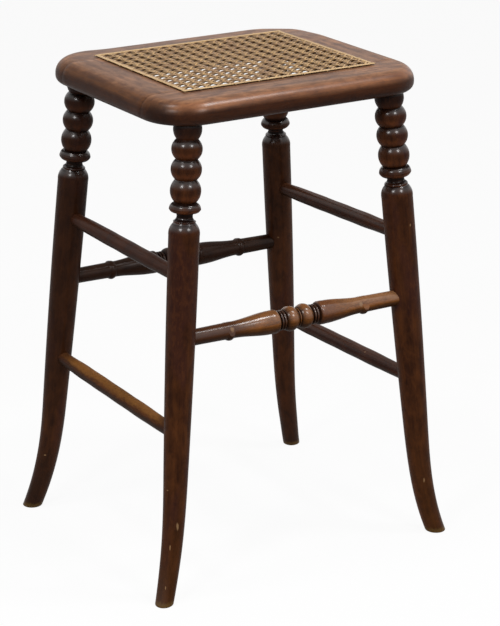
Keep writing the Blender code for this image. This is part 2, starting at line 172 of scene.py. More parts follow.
def close_edit():
    bpy.ops.object.mode_set(mode="OBJECT")


def close_outward():
    """Turns every face outward, and leaves edit mode."""
    bpy.ops.mesh.select_all(action="SELECT")
    bpy.ops.mesh.normals_make_consistent(inside=False)
    close_edit()


def select_edges(piece, test, as_pair=False):
    """Selects only the edges whose ends each pass a test, or pass it as a pair."""
    bpy.ops.mesh.select_mode(type="EDGE")
    bpy.ops.mesh.select_all(action="DESELECT")
    close_edit()
    vertices = piece.data.vertices
    for edge in piece.data.edges:
        ends = [vertices[index].co for index in edge.vertices]
        edge.select = test(*ends) if as_pair else all(test(end) for end in ends)
    bpy.ops.object.mode_set(mode="EDIT")


def select_at(piece, axis, place, reach=SAME_PLACE):
    """Selects only the edges that lie at a place along an axis."""
    select_edges(piece, lambda end: abs(end[axis] - place) < reach)


def push(step, reach=0):
    """Moves what is selected. With a reach, the push fades out around it over that distance."""
    bpy.ops.transform.translate(
        value=step,
        use_proportional_edit=reach > 0,
        proportional_edit_falloff="SMOOTH",
        proportional_size=reach or 1,
    )


def rotate(angle, centre=(0, 0, 0), axis="Z"):
    bpy.ops.transform.rotate(value=angle, orient_axis=axis, center_override=centre)


def saw(place, across, **settings):
    """Cuts through the whole piece along a plane."""
    bpy.ops.mesh.select_all(action="SELECT")
    bpy.ops.mesh.bisect(plane_co=place, plane_no=across, **settings)


def cut_off(place, outward):
    """Saws off the side that outward points to, and closes the cut."""
    saw(place, outward, use_fill=True, clear_outer=True, threshold=SAME_PLACE / 10)


# %% [markdown]
# ## Places taken from the frame
#
# The seat's faces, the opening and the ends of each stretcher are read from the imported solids, so nothing
# here can drift away from them.

# %% Read the seat and the rods
FRONT_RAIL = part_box("seat_rail_front")
LEFT_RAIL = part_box("seat_rail_left")
SEAT_UNDERSIDE = FRONT_RAIL[0].z
SEAT_TOP = FRONT_RAIL[1].z
SEAT_MIDDLE = (SEAT_TOP + SEAT_UNDERSIDE) / 2
SEAT_HALF_LENGTH = FRONT_RAIL[1].x
SEAT_HALF_WIDTH = -FRONT_RAIL[0].y
OPENING_X = -LEFT_RAIL[1].x
OPENING_Y = -FRONT_RAIL[1].y
END_FACE_DEPTH = 0.002  # within this of the very end, a point belongs to a rod's end face


def rod_ends(node):
    """The middle of each end face of a straight rod."""
    places = [vertex.co.copy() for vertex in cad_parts[node].data.vertices]
    middle = sum(places, Vector()) / len(places)
    first_tip = max(places, key=lambda place: (place - middle).length)
    along = (middle - first_tip).normalized()
    ends = []
    for sign in (1, -1):
        reach = min(sign * place.dot(along) for place in places) + END_FACE_DEPTH
        tip = {tuple(place) for place in places if sign * place.dot(along) < reach}
        ends.append(sum((Vector(place) for place in tip), Vector()) / len(tip))
    return sorted(ends, key=lambda end: (round(end.x, 1), end.y))


print("seat", round(SEAT_UNDERSIDE, 4), "to", round(SEAT_TOP, 4))
print("front stretcher", rounded(rod_ends("stretcher_front")))

# %% [markdown]
# ## Turned wood
#
# Legs and stretchers come off a lathe, so each is a stack of rings of changing radius. They could be spun
# from a drawn outline, but a leg's axis bends at the foot, so every piece is built ring by ring: a disc
# is laid at one end, and the ring is extruded along the axis, scaled and tilted, again and again. An
# outline lists the radii, and long hollows and swells in it are arcs.

# %% Draw an outline
GROOVE_REACH = 0.004  # a point in a groove is this near to the wood that stands out beside it


def arc(start, end, swell, steps):
    """The points after start, up to end, on an arc that stands out from their chord by swell."""
    start, end = Vector(start), Vector(end)
    half = (end - start).length / 2
    forward = (end - start).normalized()
    outward = Vector((-forward.y, forward.x))
    radius = (half**2 + swell**2) / (2 * swell)
    centre = (start + end) / 2 + outward * (swell - radius)
    widest = 2 * atan(swell / half)
    angles = [widest * (2 * step / steps - 1) for step in range(1, steps + 1)]
    return [centre + radius * (outward * cos(angle) + forward * sin(angle)) for angle in angles]


class Outline:
    """An outline of (radius, place on the axis), drawn from one end of a turning towards the other."""

    def __init__(self, radius, place):
        self.points = [Vector((radius, place))]

    def to(self, radius, run, swell=0, steps=1):
        """Goes on to a radius that lies run further down, straight or on an arc."""
        start = self.points[-1]
        end = Vector((radius, start.y - run))
        if swell:
            self.points += arc(start, end, swell, steps)
        else:
            self.points += [start.lerp(end, step / steps) for step in range(1, steps + 1)]

    def hollow(self, place):
        """How deep in a groove the outline lies at a place, from 0 on the outside up to 1."""
        near = [radius for radius, height in self.points if abs(height - place) < GROOVE_REACH]
        at = min(self.points, key=lambda point: abs(point.y - place)).x
        return min(1, (max(near) - at) / GROOVE_REACH) if near else 0


def evenly(start, end, steps):
    """Even steps from start to end, without the start."""
    return [start + (end - start) * step / steps for step in range(1, steps + 1)]


# %% Turn a piece
LATHE_SIDES = 64
TILT_THAT_COUNTS = radians(0.01)


def turned(name, stations):
    """A solid turning. Each station is (centre of the ring, its radius, the direction back up the axis)."""
    centre, radius, upward = stations[0]
    deselect()
    bpy.ops.mesh.primitive_circle_add(
        vertices=LATHE_SIDES,
        radius=radius,
        fill_type="NGON",
        location=centre,
        rotation=upward.to_track_quat("Z", "Y").to_euler(),
    )
    piece = named(name)
    edit(piece)
    for before, (centre, radius, upward) in zip(stations, stations[1:]):
        way = {"value": centre - before[0], "orient_type": "GLOBAL"}
        bpy.ops.mesh.extrude_region_move(TRANSFORM_OT_translate=way)
        scale = radius / before[1]
        bpy.ops.transform.resize(value=(scale, scale, scale), center_override=centre)
        tilt_x = atan2(before[2].y, before[2].z) - atan2(upward.y, upward.z)
        tilt_y = atan2(upward.x, upward.z) - atan2(before[2].x, before[2].z)
        for axis, tilt in (("X", tilt_x), ("Y", tilt_y)):
            if abs(tilt) > TILT_THAT_COUNTS:
                rotate(-tilt, centre, axis)  # without a window this operator turns the other way
    close_outward()
    return piece


def store(piece, name, values, kind="FLOAT"):
    """Stores a value on each vertex, for a material to read."""
    attribute = piece.data.attributes.new(name, kind, "POINT")
    if kind == "FLOAT_VECTOR":
        values = [number for value in values for number in value]
    attribute.data.foreach_set("value" if kind == "FLOAT" else "vector", values)


def mark_turning(piece, outline, lathe_place, shift):
    """Stores each vertex's place on the lathe, for the grain, and how deep in a groove it lies."""
    places = [lathe_place(vertex.co) for vertex in piece.data.vertices]
    steps = [round(place.z, 4) for place in places]
    depths = {step: outline.hollow(step) for step in set(steps)}
    store(piece, "lathe", [place + Vector((0, 0, shift)) for place in places], "FLOAT_VECTOR")
    store(piece, "hollow", [depths[step] for step in steps])


# %% [markdown]
# ## The legs
#
# Under the seat each leg has a ring, three balls and a thin disc, then a hollow neck, a collar and a
# shoulder, from which it tapers to the floor. Its axis leans outwards both ways and sweeps out over the
# last hand's breadth. The top is cut to the slope of the seat and the foot to the floor, and the foot's
# rim is worn round.

# %% The leg's axis
LEG_END_INSET = 0.0459  # from the end of the seat to the leg's axis, at the underside
LEG_SIDE_INSET = 0.0292
SPLAY_X_SHARE = 0.080
SPLAY_Y_SHARE = 0.060
SWEEP_X = 0.016
SWEEP_Y = 0.0105
SWEEP_HEIGHT = 0.150
SWEEP_POWER = 2.4
LEG_X = SEAT_HALF_LENGTH - LEG_END_INSET
LEG_Y = SEAT_HALF_WIDTH - LEG_SIDE_INSET


def leg_axis(height):
    """Where the front left leg's axis passes at a height."""
    drop = SEAT_UNDERSIDE - height
    sweep = max(0, 1 - height / SWEEP_HEIGHT) ** SWEEP_POWER
    x = LEG_X + SPLAY_X_SHARE * drop + SWEEP_X * sweep
    y = LEG_Y + SPLAY_Y_SHARE * drop + SWEEP_Y * sweep
    return Vector((-x, -y, height))


def leg_upward(height):
    """The direction up the front left leg's axis at a height."""
    bend = max(0, 1 - height / SWEEP_HEIGHT) ** (SWEEP_POWER - 1) * SWEEP_POWER / SWEEP_HEIGHT
    return Vector((SPLAY_X_SHARE + SWEEP_X * bend, SPLAY_Y_SHARE + SWEEP_Y * bend, 1)).normalized()


# %% The leg's outline
SPARE = 0.004  # how far the leg is turned past its cut top, and half of how far past its foot
WAIST_RADIUS = 0.0139
RING_HEIGHT = 0.0197
RING_RADIUS = 0.018
BALL_HEIGHTS = (0.0243, 0.0248, 0.0273)
BALL_RADIUS = 0.0194
DISC_RADIUS = 0.0196
DISC_RISE = 0.0066
DISC_SWELL = 0.0014
DISC_EDGE = 0.0036
DISC_EDGE_SWELL = 0.0007
DISC_UNDERCUT = 0.0024
DISC_UNDERCUT_SWELL = 0.0014
NECK_TOP_RADIUS = 0.0122
NECK_HEIGHT = 0.0096
NECK_HOLLOW = 0.0026
NECK_FOOT_RADIUS = 0.0136
COLLAR_RADIUS = 0.0144
COLLAR_HEIGHT = 0.0024
SHOULDER_HEIGHT = 0.0165
SHOULDER_SWELL = 0.0022
SHOULDER_RADIUS = 0.01955
FOOT_RADIUS = 0.0119
TAPER_STEPS = 24
FOOT_STEPS = 22


def leg_outline():
    outline = Outline(WAIST_RADIUS, SEAT_UNDERSIDE + SPARE)
    outline.to(WAIST_RADIUS, RING_HEIGHT + SPARE, RING_RADIUS - WAIST_RADIUS, steps=14)
    for height in BALL_HEIGHTS:
        outline.to(WAIST_RADIUS, height, BALL_RADIUS - WAIST_RADIUS, steps=16)
    outline.to(DISC_RADIUS, DISC_RISE, DISC_SWELL, steps=6)
    outline.to(DISC_RADIUS - DISC_EDGE_SWELL, DISC_EDGE, DISC_EDGE_SWELL, steps=5)
    outline.to(NECK_TOP_RADIUS, DISC_UNDERCUT, DISC_UNDERCUT_SWELL, steps=6)
    outline.to(NECK_FOOT_RADIUS, NECK_HEIGHT, -NECK_HOLLOW, steps=8)
    outline.to(NECK_FOOT_RADIUS, COLLAR_HEIGHT, COLLAR_RADIUS - NECK_FOOT_RADIUS, steps=5)
    outline.to(SHOULDER_RADIUS, SHOULDER_HEIGHT, SHOULDER_SWELL, steps=8)
    top = outline.points[-1].y
    for height in evenly(top, SWEEP_HEIGHT, TAPER_STEPS) + evenly(SWEEP_HEIGHT, -2 * SPARE, FOOT_STEPS):
        share = sin(pi / 2 * height / top)
        outline.points.append(Vector((FOOT_RADIUS + (SHOULDER_RADIUS - FOOT_RADIUS) * share, height)))
    return outline


LEG_OUTLINE = leg_outline()
print("leg outline", len(LEG_OUTLINE.points), "rings")

# %% [markdown]
# One leg is turned, a little too long at both ends, and all four are copies of it, three of them
# mirrored. No two legs of an old stool are quite alike, so each copy is made a hair stouter or thinner
# and leans a little about its joints with the stretchers, and its foot is pushed with proportional
# editing, which fades out up the leg. Only then is it cut to the seat and the floor. Its rim wears round
# in the same way, by a pull that fades out just above the floor.

# %% Turn the legs
JOINT_SLIT = 0.0003  # between the leg and the seat
RIM_WEAR = 0.0016  # how far up a foot its rim is rounded
RIM_PULL = 0.0013  # how far the rim has worn in
RIM_CUTS = (0.25, 0.55, 1)  # where the rounding gets points to bend at, as shares of its height
AT_FLOOR = RIM_WEAR / 10
PIVOT_HEIGHT = 0.330
LEGS = {  # on which side it stands, along x and along y
    "leg_front_left": (-1, -1),
    "leg_front_right": (1, -1),
    "leg_back_left": (-1, 1),
    "leg_back_right": (1, 1),
}
STANCE = {  # lean along x and y, in radians; push of the foot; how far up the push fades; how much stouter
    "leg_front_left": ((0, 0), (-0.0006, 0.0004), 0.10, -0.0005),
    "leg_front_right": ((0.0036, -0.0023), (-0.0034, 0.0022), 0.15, 0.0006),
    "leg_back_left": ((0, 0), (-0.0003, -0.0005), 0.08, 0.00025),
    "leg_back_right": ((0.0045, -0.0105), (-0.0012, 0.0008), 0.06, -0.0003),
}


def place_on_lathe(signs):
    """The function from a place in the room to its place on the lathe, for a leg on this side."""

    def lathe_place(place):
        folded = Vector((-signs[X] * place.x, -signs[Y] * place.y, place.z))
        away = folded - leg_axis(place.z)
        return Vector((away.x, away.y, place.z))

    return lathe_place


def take_stance(leg, node):
    """In edit mode, pushes the foot of a leg, changes its girth and leans it."""
    (lean_x, lean_y), step, reach, stouter = STANCE[node]
    end_ring = LEG_OUTLINE.points[-1].y + SPARE / 4
    select_edges(leg, lambda end: end.z < end_ring)
    push((*step, 0), reach)
    bpy.ops.mesh.select_all(action="SELECT")
    bpy.ops.transform.shrink_fatten(value=stouter)
    pivot = leg_axis(PIVOT_HEIGHT)
    pivot = Vector((LEGS[node][X] * -pivot.x, LEGS[node][Y] * -pivot.y, pivot.z))
    for axis, lean in (("Y", lean_x), ("X", -lean_y)):
        if lean:
            rotate(lean, pivot, axis)


def wear_rim(leg):
    """In edit mode, rounds the rim of a foot by a pull inwards that fades out just above it."""
    for share in RIM_CUTS:
        saw((0, 0, RIM_WEAR * share), (0, 0, 1))
    select_edges(leg, lambda end: end.z < AT_FLOOR)
    rim = [vertex.co for vertex in leg.data.vertices if vertex.co.z < AT_FLOOR]
    pulled = 1 - RIM_PULL / FOOT_RADIUS
    bpy.ops.transform.resize(
        value=(pulled, pulled, 1),
        center_override=sum(rim, Vector()) / len(rim),
        use_proportional_edit=True,
        proportional_edit_falloff="SHARP",
        proportional_size=RIM_WEAR,
    )


def stand_leg(first_leg, node, signs, number):
    leg = copy_of(first_leg, f"turned_{node}")
    edit(leg)
    for axis in (X, Y):
        if signs[axis] > 0:
            mirrored_axes = tuple(index == axis for index in (X, Y, Z))
            bpy.ops.transform.mirror(constraint_axis=mirrored_axes, center_override=(0, 0, 0))
    close_outward()
    mark_turning(leg, LEG_OUTLINE, place_on_lathe(signs), number)
    edit(leg)
    take_stance(leg, node)
    cut_off((0, 0, SEAT_UNDERSIDE - JOINT_SLIT), (0, 0, 1))
    cut_off((0, 0, 0), (0, 0, -1))
    wear_rim(leg)
    close_edit()
    smooth(leg)
    install(leg, "leg_wood", node)
    return leg


stations = [(leg_axis(height), radius, leg_upward(height)) for radius, height in LEG_OUTLINE.points]
first_leg = turned("turned_leg", stations)
legs = [stand_leg(first_leg, node, signs, number) for number, (node, signs) in enumerate(LEGS.items())]
bpy.data.objects.remove(first_leg)

# %% [markdown]
# ## The stretchers
#
# The front and back stretchers are turned alike: two bobbins in the middle with a thin ring between them,
# two fine rings on each side, a cup, a long hollow stem and a bead near the end. Half an outline is drawn
# from the middle, and its mirror image completes it. Feet have rested on the front one for years, so its
# beads are worn flat on top and in front.

# %% The stretcher's outline
MIDDLE_RING_RADIUS = 0.0124
MIDDLE_RING_HALF = 0.0005
MIDDLE_GROOVE_RADIUS = 0.0112
MIDDLE_GROOVE_LENGTH = 0.0013
BOBBIN_LENGTH = 0.0166
BOBBIN_RADIUS = 0.01585
BOBBIN_WAIST_RADIUS = 0.0123
BOBBIN_END_RADIUS = 0.0118
FINE_RINGS = 2
FINE_RING_GAP = 0.0015
FINE_RING_LENGTH = 0.0022
FINE_RING_RADIUS = 0.0123
FINE_RING_SWELL = 0.0005
GROOVE_RADIUS = 0.0104
CUP_FACE = 0.0009
LIP_START_RADIUS = 0.0120
LIP_LENGTH = 0.0044
LIP_SWELL = 0.0012
CUP_RADIUS = 0.0150
CUP_LENGTH = 0.0050
CUP_SWELL = 0.0002
STEM_END = 0.0963  # from the middle of the stretcher
STEM_RADIUS = 0.0106
STEM_STEPS = 20
BEAD_LENGTH = 0.009
BEAD_RADIUS = 0.0127
ROD_END_RADIUS = 0.0102
ROD_END_LENGTH = 0.030  # the straight end, which goes into the leg
EDGE_RUN = 0.0003  # a face square to the axis is drawn this long


def whole(half):
    """A whole outline, from the half that runs down from the middle."""
    outline = Outline(*half.points[0])
    lower = [point for point in half.points if point.y]
    upper = [Vector((point.x, -point.y)) for point in reversed(lower)]
    middle = [point for point in half.points if not point.y]
    outline.points = upper + middle + lower
    return outline


def stretcher_outline(length):
    half = Outline(MIDDLE_RING_RADIUS, 0)
    half.to(MIDDLE_RING_RADIUS, MIDDLE_RING_HALF)
    half.to(MIDDLE_GROOVE_RADIUS, EDGE_RUN)
    half.to(MIDDLE_GROOVE_RADIUS, MIDDLE_GROOVE_LENGTH)
    half.to(BOBBIN_WAIST_RADIUS, EDGE_RUN)
    swell = BOBBIN_RADIUS - (BOBBIN_WAIST_RADIUS + BOBBIN_END_RADIUS) / 2
    half.to(BOBBIN_END_RADIUS, BOBBIN_LENGTH, swell, steps=16)
    for ring in range(FINE_RINGS):
        half.to(GROOVE_RADIUS, EDGE_RUN)
        half.to(GROOVE_RADIUS, FINE_RING_GAP)
        half.to(FINE_RING_RADIUS, EDGE_RUN)
        half.to(FINE_RING_RADIUS, FINE_RING_LENGTH, FINE_RING_SWELL, steps=5)
    half.to(GROOVE_RADIUS, EDGE_RUN)
    half.to(GROOVE_RADIUS, FINE_RING_GAP)
    half.to(LIP_START_RADIUS, CUP_FACE, steps=2)
    half.to(CUP_RADIUS, LIP_LENGTH, LIP_SWELL, steps=6)
    half.to(CUP_RADIUS, CUP_LENGTH, CUP_SWELL, steps=4)
    cup_end = half.points[-1].y
    for share in evenly(0, 1, STEM_STEPS):
        radius = STEM_RADIUS + (CUP_RADIUS - STEM_RADIUS) * (1 + cos(pi * share)) / 2
        half.points.append(Vector((radius, cup_end + (-STEM_END - cup_end) * share)))
    half.to(STEM_RADIUS, BEAD_LENGTH, BEAD_RADIUS - STEM_RADIUS, steps=9)
    to_end = half.points[-1].y + length / 2
    half.to(ROD_END_RADIUS, to_end - ROD_END_LENGTH, steps=4)
    half.to(ROD_END_RADIUS, ROD_END_LENGTH)
    return whole(half)


# %% Turn the stretchers
BEAD_WEAR = {  # how many degrees above the front the worn sides face; how far out of the stem they lie
    "stretcher_front": ((110, 86, 62, 38, 14), 0.00005),
    "stretcher_back": ((100, 60), 0.0010),
}
BESIDE_A_BEAD = 1.5 * BEAD_LENGTH  # from the middle of a bead


def rod(node, outline_for, shift):
    """A turning that lies along the axis of a packed rod."""
    start, end = rod_ends(node)
    upward = (start - end).normalized()
    middle = (start + end) / 2
    outline = outline_for((start - end).length)
    stations = [(middle + upward * place, radius, upward) for radius, place in outline.points]
    piece = turned(f"turned_{node}", stations)
    to_lathe = upward.to_track_quat("Z", "Y").to_matrix().inverted()
    mark_turning(piece, outline, lambda place: to_lathe @ (place - middle), shift)
    return piece


def front_way(angle):
    """The direction this many degrees above the front."""
    return Vector((0, -cos(radians(angle)), sin(radians(angle))))


def wear_beads(piece, node):
    """Planes each bead of a stretcher down to near its stem, on the side that feet touch."""
    start, end = rod_ends(node)
    along = (start - end).normalized()
    angles, left_over = BEAD_WEAR[node]
    for side in (-1, 1):
        bead = (start + end) / 2 + along * side * (STEM_END + BEAD_LENGTH / 2)
        for angle in angles:
            edit(piece)
            select_edges(piece, lambda end: abs((end - bead).dot(along)) < BEAD_LENGTH / 2 + SAME_PLACE)
            bpy.ops.mesh.bisect(
                plane_co=bead + front_way(angle) * (STEM_RADIUS + left_over),
                plane_no=front_way(angle),
                use_fill=True,
                clear_outer=True,
            )
            close_edit()
        clear_bead_groove(piece, bead, along, Vector((0, front_way(angles[-1]).y, front_way(angles[0]).z)))
    edit(piece)
    close_outward()


def clear_bead_groove(piece, bead, along, worn_side):
    """Clears the groove depth beside a bead, on its worn side, where there is no groove any more, so neither
    dirt nor painted shade lies there.
    """
    depths = piece.data.attributes["hollow"].data
    for vertex, depth in zip(piece.data.vertices, depths):
        away = vertex.co - bead
        if abs(away.dot(along)) < BESIDE_A_BEAD and away.dot(worn_side) > 0:
            depth.value = 0


rods = {}
for number, node in enumerate(BEAD_WEAR):
    rods[node] = rod(node, stretcher_outline, number)
    wear_beads(rods[node], node)
    smooth(rods[node])
    install(rods[node], "stretcher_wood", node)

# %% [markdown]
# ## The side rungs
#
# The rungs are plain round sticks that thin a little towards their ends. Each has its own small
# unevenness, as wood that was shaved and not turned to a gauge.

# %% Shave the rungs
RUNG_RADIUS = 0.0097
RUNG_END_RADIUS = 0.0088
RUNG_END_LENGTH = 0.030
RUNG_TAPER_LENGTH = 0.045
RUNG_UNEVENNESS = 0.00012
RUNG_WAVE = 0.052
RUNGS = ("rung_left_upper", "rung_left_lower", "rung_right_upper", "rung_right_lower")


def rung_outline(length):
    half = Outline(RUNG_RADIUS, 0)
    half.to(RUNG_RADIUS, length / 2 - RUNG_END_LENGTH - RUNG_TAPER_LENGTH, steps=12)
    half.to(RUNG_END_RADIUS, RUNG_TAPER_LENGTH, steps=8)
    half.to(RUNG_END_RADIUS, RUNG_END_LENGTH, steps=2)
    outline = whole(half)
    for point in outline.points:
        point.x += RUNG_UNEVENNESS * sin(2 * pi * point.y / RUNG_WAVE)
    return outline


for number, node in enumerate(RUNGS):
    rods[node] = rod(node, rung_outline, number)
    smooth(rods[node])
    install(rods[node], "rung_wood", node)

# %% [markdown]
# ## The seat frame
#
# The frame is two long rails with the round corners and two short rails between them. It was shaped after
# it was glued up, so all four are parts of one slab: a block whose upright edges, top rim and bottom rim
# are rounded. The slab is made once, given its age while it is whole, and then sawn into the rails.

# %% Shape the slab
CORNER_RADIUS = 0.060
TOP_EDGE_RADIUS = 0.019
BOTTOM_EDGE_RADIUS = 0.009
SAW_SPACING = 0.009  # between the cuts that give the flat faces points to move


def seat_slab():
    size = Vector((SEAT_HALF_LENGTH, SEAT_HALF_WIDTH, (SEAT_TOP - SEAT_UNDERSIDE) / 2)) * 2
    deselect()
    bpy.ops.mesh.primitive_cube_add(size=1, location=(0, 0, SEAT_MIDDLE), scale=size)
    slab = named("seat_slab")
    edit(slab)
    select_edges(slab, lambda start, end: abs(start.z - end.z) > SAME_PLACE, as_pair=True)
    bpy.ops.mesh.bevel(offset=CORNER_RADIUS, segments=20, affect="EDGES")
    for height, radius, steps in ((SEAT_TOP, TOP_EDGE_RADIUS, 12), (SEAT_UNDERSIDE, BOTTOM_EDGE_RADIUS, 6)):
        select_at(slab, Z, height)
        bpy.ops.mesh.bevel(offset=radius, segments=steps, affect="EDGES")
    for axis, half in ((Vector((1, 0, 0)), SEAT_HALF_LENGTH), (Vector((0, 1, 0)), SEAT_HALF_WIDTH)):
        cuts = int(half / SAW_SPACING)
        for cut in range(-cuts, cuts + 1):
            saw(axis * (cut * SAW_SPACING), axis)
    close_edit()
    return slab


slab = seat_slab()
print("slab", len(slab.data.polygons), "faces")

# %% [markdown]
# Hands and knees wear a seat unevenly. Here the top gives way most at the back right corner, a little
# along the back and at the front left corner. Each hollow is one soft push with proportional editing. The
# lower half is hidden while that is done, because hidden points don't move and the legs' joints must keep
# their place.

# %% Wear the slab
TOP_WEAR = (  # from x and y, to x and y, how deep, how far it fades out
    ((0.160, 0.110), (0.200, 0.170), 0.0020, 0.045),
    ((-0.100, 0.148), (0.160, 0.170), 0.0010, 0.036),
    ((-0.200, -0.170), (-0.155, -0.120), 0.0008, 0.030),
    ((0.020, -0.170), (0.090, -0.150), 0.0004, 0.040),
)


def wear_top(slab):
    for low, high, depth, reach in TOP_WEAR:
        edit(slab)
        select_edges(slab, lambda start, end: min(start.z, end.z) < SEAT_MIDDLE, as_pair=True)
        bpy.ops.mesh.hide(unselected=False)
        select_edges(
            slab,
            lambda end: end.z > SEAT_MIDDLE and low[X] < end.x < high[X] and low[Y] < end.y < high[Y],
        )
        push((0, 0, -depth), reach)
        bpy.ops.mesh.reveal(select=False)
        close_edit()


before = [vertex.co.z for vertex in slab.data.vertices]
wear_top(slab)
moved = [old - vertex.co.z for old, vertex in zip(before, slab.data.vertices)]
print("points moved", sum(drop > 0 for drop in moved), "deepest", round(max(moved), 4))

# %% [markdown]
# The rails are copies of the slab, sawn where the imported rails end. The long rails take the corners, and
# the short ones stop a hairline before them, which leaves the joint lines that show on the old stool.
# Then the cane holes are drilled through, a row of them 10 mm from the opening.

# %% Saw and drill the rails
HOLE_INSET = 0.010
HOLE_RADIUS = 0.0021
HOLE_SIDES = 16
COLUMNS = 16
ROWS = 14
SIDE_MARGIN = 0.0033  # from the side holes to the last pair of strands
FRONT_MARGIN = 0.0011
HOLE_LINE_X = OPENING_X + HOLE_INSET
HOLE_LINE_Y = OPENING_Y + HOLE_INSET
PITCH_X = 2 * (HOLE_LINE_X - SIDE_MARGIN) / COLUMNS
PITCH_Y = 2 * (HOLE_LINE_Y - FRONT_MARGIN) / ROWS
FRONT_HOLES = [hole * PITCH_X for hole in range(1 - COLUMNS // 2, COLUMNS // 2)]
SIDE_HOLES = [hole * PITCH_Y for hole in range(1 - ROWS // 2, ROWS // 2)]
GLUE_LINE = 0.00008
ARRIS_WEAR = 0.00012
ARRIS_ANGLE = radians(60)


def drill(rail, holes):
    deselect()
    drills = []
    for x, y in holes:
        bpy.ops.mesh.primitive_cylinder_add(
            vertices=HOLE_SIDES,
            radius=HOLE_RADIUS,
            depth=2 * (SEAT_TOP - SEAT_UNDERSIDE),
            location=(x, y, SEAT_MIDDLE),
        )
        drills.append(bpy.context.object)
    drills = joined(drills[::-1], "drills")
    modify(rail, "BOOLEAN", object=drills, operation="DIFFERENCE", solver="MANIFOLD")
    bpy.data.objects.remove(drills)


def make_rail(slab, node, cuts, holes):
    rail = copy_of(slab, f"worn_{node}")
    edit(rail)
    for place, outward in cuts:
        cut_off(place, outward)
    bpy.ops.mesh.select_mode(type="EDGE")
    bpy.ops.mesh.select_all(action="DESELECT")
    bpy.ops.mesh.edges_select_sharp(sharpness=ARRIS_ANGLE)
    bpy.ops.mesh.bevel(offset=ARRIS_WEAR, segments=2, affect="EDGES")
    close_edit()
    drill(rail, holes)
    smooth(rail)
    install(rail, "seat_wood", node)
    return rail


def make_rails(slab):
    rails = []
    for node, end in (("seat_rail_front", -1), ("seat_rail_back", 1)):
        cuts = [((0, end * OPENING_Y, 0), (0, -end, 0))]
        corners = [(side * HOLE_LINE_X, end * HOLE_LINE_Y) for side in (-1, 1)]
        holes = corners + [(x, end * HOLE_LINE_Y) for x in FRONT_HOLES]
        rails.append(make_rail(slab, node, cuts, holes))
    for node, side in (("seat_rail_left", -1), ("seat_rail_right", 1)):
        cuts = [((side * OPENING_X, 0, 0), (-side, 0, 0))]
        cuts += [((0, end * (OPENING_Y - GLUE_LINE), 0), (0, end, 0)) for end in (-1, 1)]
        rails.append(make_rail(slab, node, cuts, [(side * HOLE_LINE_X, y) for y in SIDE_HOLES]))
    return rails


rails = make_rails(slab)
bpy.data.objects.remove(slab)

# %% [markdown]
# ## The woven cane
#
# Hand caning is laid in six steps. Pairs of strands run front to back and side to side and are woven with
# each other, and two sets of diagonals lock them: one set goes over the front-to-back pairs and under the
# others, and the second set does the opposite. Strands are split rattan, about 2.9 mm wide, flat below
# and domed above.
#
# A strand's waves repeat at every crossing. So one wave is shaped from a small strip: it is cut across
# where the wave turns, and each cut line is moved up or down. An array repeats it to the strand's length.

# %% Shape one wave of a strand
STRAND_WIDTH = 0.0029
STRAND_THICKNESS = 0.00066
STRAND_DOME = 0.00016
PAIR_HALF = 0.00172  # from the middle of a pair to each strand
CANE_MIDDLE = 0.63105
CROSSING_RISE = 0.00042
CROSSING_TURNS = {0: 0, 0.5: 0.8, 1: 1, 1.5: 0.65, 2: 0.1}  # how high, so many half pairs past a crossing
LEVEL_FROM, LEVEL_TO = 0.32, 0.68  # between these shares of a wave a strand is level
DIAGONAL_RISE = 0.00100
DIAGONAL_TURNS = {0: 1, 0.09: 1, 0.17: 0.86, 0.25: 0, 0.33: -0.86, 0.41: -1, 0.5: -1}
CELL_DIAGONAL = hypot(PITCH_X, PITCH_Y)


def grid(name, size, cells, middle=(0, 0, 0)):
    """A flat rectangle of cells."""
    deselect()
    bpy.ops.mesh.primitive_grid_add(
        x_subdivisions=cells[X], y_subdivisions=cells[Y], size=1, location=middle
    )
    bpy.context.object.scale = (*size, 1)  # this operator leaves out its own scale
    return named(name)


def wave_strip(length, heights):
    """A strip along Y, one wave long, whose height at each of the given places is set."""
    strip = grid("wave", (STRAND_WIDTH, length), (2, 1), (0, length / 2, 0))
    edit(strip)
    for place in heights:
        if 0 < place < length:
            saw((0, place, 0), (0, 1, 0))
    for place, height in heights.items():
        select_at(strip, Y, place)
        push((0, 0, height))
    select_at(strip, X, 0)
    push((0, 0, STRAND_DOME))
    close_edit()
    return strip


def straight_wave(pitch, sign):
    """The wave of a strand that crosses a pair: down under one strand, and up over the other."""
    heights = {PAIR_HALF * turn: sign * CROSSING_RISE * rise for turn, rise in CROSSING_TURNS.items()}
    heights[LEVEL_FROM * pitch] = heights[LEVEL_TO * pitch] = 0
    heights |= {pitch - place: -height for place, height in heights.items() if place < LEVEL_FROM * pitch}
    return wave_strip(pitch, heights)


def diagonal_wave(sign):
    """The wave of a diagonal: over a front-to-back pair, then half a cell on under a side-to-side pair."""
    turns = DIAGONAL_TURNS | {1 - place: rise for place, rise in DIAGONAL_TURNS.items()}
    heights = {CELL_DIAGONAL * place: sign * DIAGONAL_RISE * rise for place, rise in turns.items()}
    return wave_strip(CELL_DIAGONAL, heights)


# %% [markdown]
# Each family of strands is one piece. A strand is repeated along itself and then set in its place, a
# little off and a little turned, for no strand lies exactly where it should. The family is cut off at the
# rows of holes, where the real strands dive into the rail, and it sinks a little in the middle, where
# people have sat.

# %% Lay the four families of strands
SAG = 0.0014
FLATTENED = 0.014  # how far in from the holes the net lies flatter on the rails
LEAST_FULLNESS = 0.5
STRAND_STRAY = 0.00018
STRAND_TURN = 0.0010
COLUMN_NUMBERS = range(-COLUMNS // 2, COLUMNS // 2 + 1)
ROW_NUMBERS = range(-ROWS // 2, ROWS // 2 + 1)
DIAGONAL_NUMBERS = range(-COLUMNS // 2 - ROWS // 2, COLUMNS // 2 + ROWS // 2)
DIAGONAL_HEADING = atan2(PITCH_X, PITCH_Y)


def give_tone(strand, chance):
    """Gives a strand a number of its own, from which its tone is made."""
    store(strand, "strand", [chance.random()] * len(strand.data.vertices))


